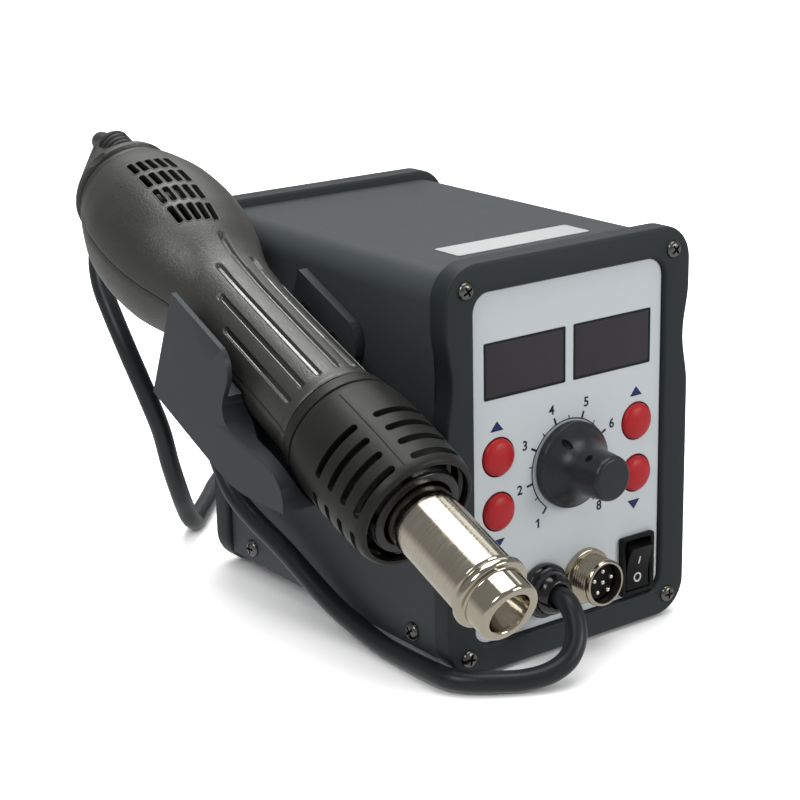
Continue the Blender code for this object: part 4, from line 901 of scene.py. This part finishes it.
def half_shell(name, sign, node_name):
    """One moulded half: outer skin with grooves, inner skin, closed all round."""
    ss = [81.0 + 0.62 * i for i in range(220)] + [217.0]
    phis = [-90.0 + i for i in range(181)] if sign > 0 else [90.0 + 3.0 * i for i in range(61)]
    bm = bmesh.new()
    outer, inner, deep = [], [], []
    for s in ss:
        ro, ri, rd = [], [], []
        for ph in phis:
            r = radius(s)
            r -= 0.5 * max(0.0, 1.0 - abs(s - 213.6) / 0.8) + 0.3 * max(0.0, (s - 216.2) / 0.8)
            if s < 81.9:
                r -= 0.5 * (81.9 - s) / 0.9
            edge = min(abs(ph - phis[0]), abs(ph - phis[-1]))
            if edge < 1.2:
                r -= 0.3 * (1.2 - edge)
            d = groove_depth(s, ph) if sign > 0 else 0.0
            rd.append(d)
            a = math.radians(ph)
            gap = 0.12 * sign + rise(s)
            ro.append(bm.verts.new(((r - 1.0 * d) * math.sin(a) * MM, ((r - 1.0 * d) * math.cos(a) + gap) * MM, s * MM)))
            q = radius(s) - 2.2
            ri.append((q * math.sin(a) * MM, (q * math.cos(a) + gap) * MM, s * MM))
        outer.append(ro)
        inner.append(ri)
        deep.append(rd)
    for i in range(len(ss) - 1):
        for k in range(len(phis) - 1):
            f = bm.faces.new((outer[i][k], outer[i][k + 1], outer[i + 1][k + 1], outer[i + 1][k]))
            # groove floors take the darker glossy material: painted shade in the grooves
            if min(deep[i][k], deep[i][k + 1], deep[i + 1][k], deep[i + 1][k + 1]) > 0.55:
                f.material_index = 1
    # inner skin, coarser along the length
    step_s, step_p = 10, (6 if sign > 0 else 3)
    si = sorted(set(list(range(0, len(ss), step_s)) + [len(ss) - 1]))
    iv = [[bm.verts.new(inner[i][k]) for k in range(len(phis))] for i in si]
    for a, b in zip(iv[:-1], iv[1:]):
        for k in range(len(phis) - 1):
            bm.faces.new((a[k], b[k], b[k + 1], a[k + 1]))
    # rims: ends and the two parting faces
    for row, irow in ((outer[0], iv[0]), (outer[-1], iv[-1])):
        for k in range(len(phis) - 1):
            bm.faces.new((row[k], row[k + 1], irow[k + 1], irow[k]))
    for k in (0, len(phis) - 1):
        for j in range(len(si) - 1):
            chain = [outer[i][k] for i in range(si[j], si[j + 1] + 1)]
            bm.faces.new(chain + [iv[j + 1][k], iv[j][k]])
    o = to_object(name, bm, None, 60)
    o.matrix_world = HFRAME
    o.data.materials.append(M["handle"])
    o.data.materials.append(M["groove"])
    return o


def slot_outline(half_a, half_b, r, n=6):
    """Rounded rectangle centred on the origin."""
    return rrect(-half_a, half_a, -half_b, half_b, r, n)


def radial_prism(bm, outline, s0, phi0, r_in, r_out, r_ref):
    """Prism whose outline lies on a cylinder round the handle axis: outline x runs round, y along."""
    rings = []
    for r in (r_in, r_out):
        ring = []
        for x, y in outline:
            a = math.radians(phi0) + x / r_ref
            ring.append(bm.verts.new((r * math.sin(a) * MM, r * math.cos(a) * MM, (s0 + y) * MM)))
        rings.append(ring)
    n = len(outline)
    for k in range(n):
        bm.faces.new((rings[0][k], rings[0][(k + 1) % n], rings[1][(k + 1) % n], rings[1][k]))
    bm.faces.new(list(reversed(rings[0])))
    bm.faces.new(rings[1])


VENTS = [(170.0 + 9.6 * row - 0.9 * col, 25.5 - 7.0 * col) for row in range(4) for col in range(5)]


def build_handle():
    up = half_shell("handle_shell_upper", 1.0, "handle_upper")
    bm = bmesh.new()
    for s, ph in VENTS:
        radial_prism(bm, slot_outline(1.15, 3.8, 0.8), s, ph, 17.0, 31.0, radius(s))
    c = to_object("vent_cut", bm)
    c.matrix_world = HFRAME
    carve(up, c)
    up.data.shade_smooth()
    up.data.set_sharp_from_angle(angle=math.radians(60))
    place(up, None, "handle", ["handle_upper"])

    # raised lip round every vent, coloured lighter than the handle as a painted highlight on its edge
    bm = bmesh.new()
    prof = [(0.0, -0.25), (0.26, -0.1), (0.22, 0.1), (0.0, 0.15), (-0.22, 0.1), (-0.26, -0.1)]
    for s, ph in VENTS:
        rings = []
        for x, y in slot_outline(1.32, 3.97, 0.97):
            # outward direction of the outline
            ox = max(-1.0, min(1.0, (abs(x) - 0.35) / 1.0)) * (1 if x > 0 else -1) if abs(x) > 0.35 else 0.0
            oy = max(-1.0, min(1.0, (abs(y) - 3.0) / 1.0)) * (1 if y > 0 else -1) if abs(y) > 3.0 else 0.0
            l = math.hypot(ox, oy) or 1.0
            ox, oy = ox / l, oy / l
            ring = []
            for p, q in prof:
                xx, yy = x + ox * p, y + oy * p
                r = radius(s + yy) + q
                a = math.radians(ph) + xx / radius(s)
                ring.append(bm.verts.new((r * math.sin(a) * MM, (r * math.cos(a) + 0.12 + rise(s + yy)) * MM, (s + yy) * MM)))
            rings.append(ring)
        for i in range(len(rings)):
            ra, rb = rings[i], rings[(i + 1) % len(rings)]
            for k in range(len(prof)):
                bm.faces.new((ra[k], ra[(k + 1) % len(prof)], rb[(k + 1) % len(prof)], rb[k]))
    rims = to_object("vent_lips", bm, None, 80)
    rims.matrix_world = HFRAME
    place(rims, M["rim"], "handle")

    low = half_shell("handle_shell_lower", -1.0, "handle_lower")
    place(low, None, "handle", ["handle_lower"])

    # tail cap: a shoulder at the grip, drawn up to the boot's mouth
    rings = [(216.7, 1.0, 16.9, 16.9), (217.2, 1.0, 18.5, 18.5), (217.7, 1.05, 18.95, 18.95), (218.8, 1.15, 18.75, 18.75), (220.0, 1.3, 18.1, 18.2), (221.5, 1.6, 17.0, 16.7), (223.0, 2.2, 15.7, 14.8),
             (224.5, 3.0, 14.4, 12.9), (226.0, 3.9, 13.1, 11.2), (227.5, 4.9, 11.7, 9.7), (229.0, 6.1, 10.2, 8.2), (230.3, 7.3, 8.9, 6.9), (231.4, 8.3, 7.8, 5.9), (232.4, 9.2, 6.8, 5.1), (233.0, 9.7, 6.0, 4.7), (233.2, 10.0, 5.2, 4.4),
             (232.8, 10.0, 4.6, 4.0), (231.0, 9.0, 5.8, 4.8), (229.0, 7.0, 8.0, 6.6), (226.0, 4.6, 11.0, 9.4), (223.0, 2.8, 13.8, 13.0), (220.0, 1.8, 16.0, 16.0)]
    bm = bmesh.new()
    n = 96
    loops = [[bm.verts.new((a * math.cos(2 * math.pi * k / n) * MM, (h + b * math.sin(2 * math.pi * k / n)) * MM, s * MM)) for k in range(n)] for s, h, a, b in rings]
    for a, b in zip(loops, loops[1:] + loops[:1]):
        for k in range(n):
            bm.faces.new((a[k], a[(k + 1) % n], b[(k + 1) % n], b[k]))
    cap = to_object("tail_cap_shell", bm, None, 50)
    cap.matrix_world = HFRAME
    # leaf-shaped recess on the outer side; its faces get the darker boot material as painted shade
    ang = math.radians(44.0)
    spot = (Matrix.Translation((18.9 * math.sin(ang) * MM, (1.4 + 18.9 * math.cos(ang)) * MM, 219.9 * MM)) @ Matrix.Rotation(-ang, 4, 'Z')
            @ Matrix.Diagonal((4.4 * MM, 1.5 * MM, 3.0 * MM, 1.0)))
    bm = bmesh.new()
    bmesh.ops.create_uvsphere(bm, u_segments=32, v_segments=20, radius=1.0, matrix=spot)
    c = to_object("recess_cut", bm)
    c.matrix_world = HFRAME
    carve(cap, c)
    back = spot.inverted()
    # faces inside the recess take the darker material: painted shade in the hollow
    for p in cap.data.polygons:
        p.material_index = 1 if (back @ p.center).length < 1.04 else 0
    cap.data.shade_smooth()
    cap.data.set_sharp_from_angle(angle=math.radians(45))
    place(cap, [M["handle"], M["boot"]], "handle", ["tail_cap"])

    # ribbed boot, its bore a little below its middle
    pr = [(0.0, 220.6), (5.4, 220.6)]
    for i in range(5):
        s = 221.0 + 2.0 * i
        pr += [(5.4, s), (5.95, s + 0.25), (6.1, s + 0.7), (5.95, s + 1.15), (5.4, s + 1.4)]
    pr += [(5.4, 231.0), (4.9, 231.7), (0.0, 231.9)]
    boot = lathe_h("cord_boot_ribbed", pr, 64, False, 60, 12.0)
    carve(boot, lathe_h("boot_bore", [(0.0, 220.0), (3.75, 220.0), (3.75, 233.0), (0.0, 233.0)], 48, False, 40, 10.0))
    boot.data.shade_smooth()
    boot.data.set_sharp_from_angle(angle=math.radians(50))
    place(boot, M["boot"], "handle", ["cord_boot"])

    # heat guard
    pr = fil([(18.2, 34.6, 0.4), (19.0, 34.3, 0.5), (19.9, 34.9, 0.7), (20.6, 37.0, 2), (21.2, 48.0, 4), (21.35, 57.0, 4), (21.15, 68.0, 3), (20.5, 73.6, 1.0), (20.0, 75.1, 0.3), (19.2, 75.4, 0.2),
              (19.2, 75.9, 0.2), (19.9, 76.1, 0.3), (19.5, 79.9, 0.3), (18.6, 80.3, 0.2), (11.8, 80.3), (11.8, 77.5), (17.4, 73.5, 2), (18.7, 68.0, 2), (18.9, 56.0, 3), (18.1, 36.0)], 4)
    guard = lathe_h("heat_guard_sleeve", pr, 160, True, 35)
    bm = bmesh.new()
    for k in range(5):
        for row in range(4):
            radial_prism(bm, slot_outline(21.0 * math.radians(28.0), 1.25, 1.2, 6), 38.6 + 6.6 * row, 59.0 + 72.0 * k, 13.0, 26.5, 21.0)
    c = to_object("guard_cut", bm)
    c.matrix_world = HFRAME
    carve(guard, c)
    # the guard's inner wall is painted near-black: painted shade inside the guard
    for p in guard.data.polygons:
        rr = math.hypot(p.center.x, p.center.y)
        inward = (p.center.x * p.normal.x + p.center.y * p.normal.y) < -0.2 * rr
        p.material_index = 1 if (inward and rr < 0.0192 and p.center.z > 0.0355) else 0
    guard.data.shade_smooth()
    guard.data.set_sharp_from_angle(angle=math.radians(35))
    place(guard, [M["guard"], M["inside"]], "handle", ["heat_guard"])

    # moulding seam along the guard's plain rib
    bm = bmesh.new()
    rows = []
    for i in range(40):
        s = 35.6 + 37.0 * i / 39
        rg = np.interp(s, [34.9, 37.0, 48.0, 57.0, 68.0, 73.6], [19.9, 20.6, 21.2, 21.35, 21.15, 20.5])
        row = []
        for dp, dr in ((-1.0, -0.12), (-0.35, 0.16), (0.35, 0.16), (1.0, -0.12)):
            a = math.radians(23.0) + dp * 0.7 / 21.0
            row.append(bm.verts.new(((rg + dr) * math.sin(a) * MM, (rg + dr) * math.cos(a) * MM, s * MM)))
        rows.append(row)
    for a, b in zip(rows[:-1], rows[1:]):
        for k in range(3):
            bm.faces.new((a[k], b[k], b[k + 1], a[k + 1]))
        bm.faces.new((a[3], b[3], b[0], a[0]))
    bm.faces.new(rows[0])
    bm.faces.new(list(reversed(rows[-1])))
    seam = to_object("guard_seam", bm, None, 60)
    seam.matrix_world = HFRAME
    place(seam, M["guard"], "handle")

    # inner sleeve round the barrel
    sl = fil([(11.9, 76.5), (11.9, 35.2, 0.2), (12.2, 34.4, 0.3), (14.7, 34.4, 0.5), (15.2, 35.4, 0.4), (15.2, 76.5)], 3)
    bm = bmesh.new()
    add_lathe(bm, [(r * MM, t * MM) for r, t in sl], 72, True)
    for k in range(5):
        rot = Matrix.Rotation(math.radians(23 + 36 + 72 * k), 4, 'Z')
        add_box(bm, (-0.0006, 0.0151, 0.044), (0.0006, 0.0182, 0.070), rot)
    ins = to_object("guard_inner_sleeve", bm)
    ins.matrix_world = HFRAME
    place(ins, M["inside"], "handle")

    # barrel: straight tube, rolled bead, short neck with a rounded lip
    pr = fil([(4.6, -3.4, 0.3), (6.8, -10.2, 0.6), (7.0, -11.8, 0.4), (7.6, -12.3, 0.4), (9.3, -12.3, 0.7), (10.2, -11.4, 0.7), (10.3, -4.1, 0.4), (10.6, -3.7, 0.3), (12.2, -3.5, 0.5), (12.6, -2.5, 0.6),
              (12.5, -1.2, 0.6), (11.9, -0.5, 0.3), (10.8, -0.3, 0.2), (10.7, 0.3, 0.2), (11.2, 0.9, 0.3), (11.2, 108.0), (10.4, 108.0), (10.4, 1.2, 1.0), (9.6, -2.4, 0.4)], 5)
    bar = lathe_h("barrel_polished", pr, 128, True, 40)
    for p in bar.data.polygons:
        rr = math.hypot(p.center.x, p.center.y)
        inner = (p.center.x * p.normal.x + p.center.y * p.normal.y) < -0.3 * rr and p.center.z > -0.0108
        p.material_index = 1 if inner else (2 if p.center.z < 0.0012 else 0)
    place(bar, [M["steel"], M["bore"], M["lip"]], "handle", ["barrel_tube"])
    # heater former inside, seen down the mouth
    pr = fil([(5.2, 8.0, 0.4), (10.0, 8.0, 0.6), (10.0, 84.0), (5.2, 84.0)], 3)
    place(lathe_h("heater_former", pr, 48, True), M["ceramic"], "handle", ["heater_core"])
    paint("fan_frame", M["fan"])
    paint("fan_rotor", M["fan"])


# ------------------------------------------------------------------ cord
CORD_FRONT = ((-11.6, 3.0, 12.7), (-11.6, -10.0, 12.7), (-12.0, -15.0, 10.9), (-13.2, -19.0, 6.2), (-15.6, -21.6, 1.8), (-20.0, -22.8, -2.6), (-26.6, -21.8, -5.6),
              (-34.4, -18.4, -7.0), (-42.4, -13.6, -7.0), (-48.6, -8.8, -6.9), (-52.6, -3.0, -6.8), (-53.6, 5.0, -6.9), (-53.5, 16.0, -7.2), (-53.4, 30.0, -7.2), (-53.6, 45.0, -5.0),
              (-54.6, 62.0, 0.2), (-56.3, 86.0, 11.6),
              (-57.4, 105.0, 19.0), (-57.8, 116.0, 25.0), (-57.4, 124.0, 33.0), (-57.2, 131.0, 43.5), (-56.2, 141.5, 53.5), (-48.8, 153.5, 57.5), (-36.0, 162.5, 54.0),
              (-18.0, 166.0, 44.5), (3.0, 165.0, 31.0), (24.0, 161.0, 16.5), (42.0, 161.0, 4.5), (56.5, 166.5, -3.6))
CORD_EXIT = ((17.0, 228.5, -7.2), (3.0, 220.0, -7.2), (-10.0, 208.0, -7.2), (-23.0, 193.5, -7.2), (-36.0, 179.6, -7.2))
CORD_HANG = ((-40.0, 175.8, -7.0), (-44.4, 171.7, -3.2), (-48.6, 167.6, 3.2), (-53.5, 162.5, 11.5), (-60.0, 157.0, 26.0), (-65.0, 153.2, 40.5),
             (-70.5, 152.0, 55.0), (-74.6, 157.4, 72.0), (-75.8, 166.0, 85.5), (-75.4, 172.8, 94.0), (-73.6, 177.6, 103.0), (-70.2, 179.2, 113.0), (-67.6, 177.8, 123.5),
             (-66.9, 175.6, 133.3), (-68.4, 173.9, 140.4), (-71.4, 171.2, 145.3), (-74.8, 166.8, 147.5))


def coil(turn_deg=24.0, steps=20):
    out = []
    for k in range(steps + 1):
        a = math.radians(turn_deg * (k - 1))
        r = 31.5 + 7.6 * turn_deg * k / 360.0
        out.append((36.0 + r * math.cos(a), 190.0 + r * math.sin(a), -7.2))
    return tuple(out)


def smooth_path(pts, steps):
    P = [Vector(p) for p in pts]
    P = [P[0] * 2 - P[1]] + P + [P[-1] * 2 - P[-2]]
    out = []
    for k in range(1, len(P) - 2):
        for i in range(steps):
            t = i / steps
            a, b, c, d = P[k - 1], P[k], P[k + 1], P[k + 2]
            out.append(0.5 * ((2 * b) + (c - a) * t + (2 * a - 5 * b + 4 * c - d) * t * t + (3 * b - a - 3 * c + d) * t ** 3))
    out.append(P[-2])
    return out


def build_cord():
    end = [tuple(P0 + AX * s + UP * 10.0) for s in (233.5, 227.0)]
    path = smooth_path(CORD_FRONT + coil() + CORD_EXIT + CORD_HANG + tuple(end), 6)
    path = [(p + OFF) * MM for p in path]
    for p in path:
        p.z = max(p.z, 0.0037)
    n = 20
    bm = bmesh.new()
    rings = []
    t0 = (path[1] - path[0]).normalized()
    side = t0.orthogonal().normalized()
    for i, p in enumerate(path):
        t = (path[min(i + 1, len(path) - 1)] - path[max(i - 1, 0)]).normalized()
        side = (side - t * side.dot(t)).normalized()
        up = t.cross(side)
        rings.append([bm.verts.new(p + (side * math.cos(2 * math.pi * k / n) + up * math.sin(2 * math.pi * k / n)) * 0.0036) for k in range(n)])
    for a, b in zip(rings[:-1], rings[1:]):
        for k in range(n):
            bm.faces.new((a[k], a[(k + 1) % n], b[(k + 1) % n], b[k]))
    bm.faces.new(list(reversed(rings[0])))
    bm.faces.new(rings[-1])
    o = to_object("hose_cord", bm, None, 60)
    o.data.materials.append(M["cord"])
    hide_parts("hose_cord_floor", "hose_cord_hang")
    a = (Vector((-77.0, 0.0, 16.0)) + OFF) * MM
    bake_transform(o)


build_stage()
build_cord()
build_case()
build_marks()
build_controls()
build_cradle()
build_handle()
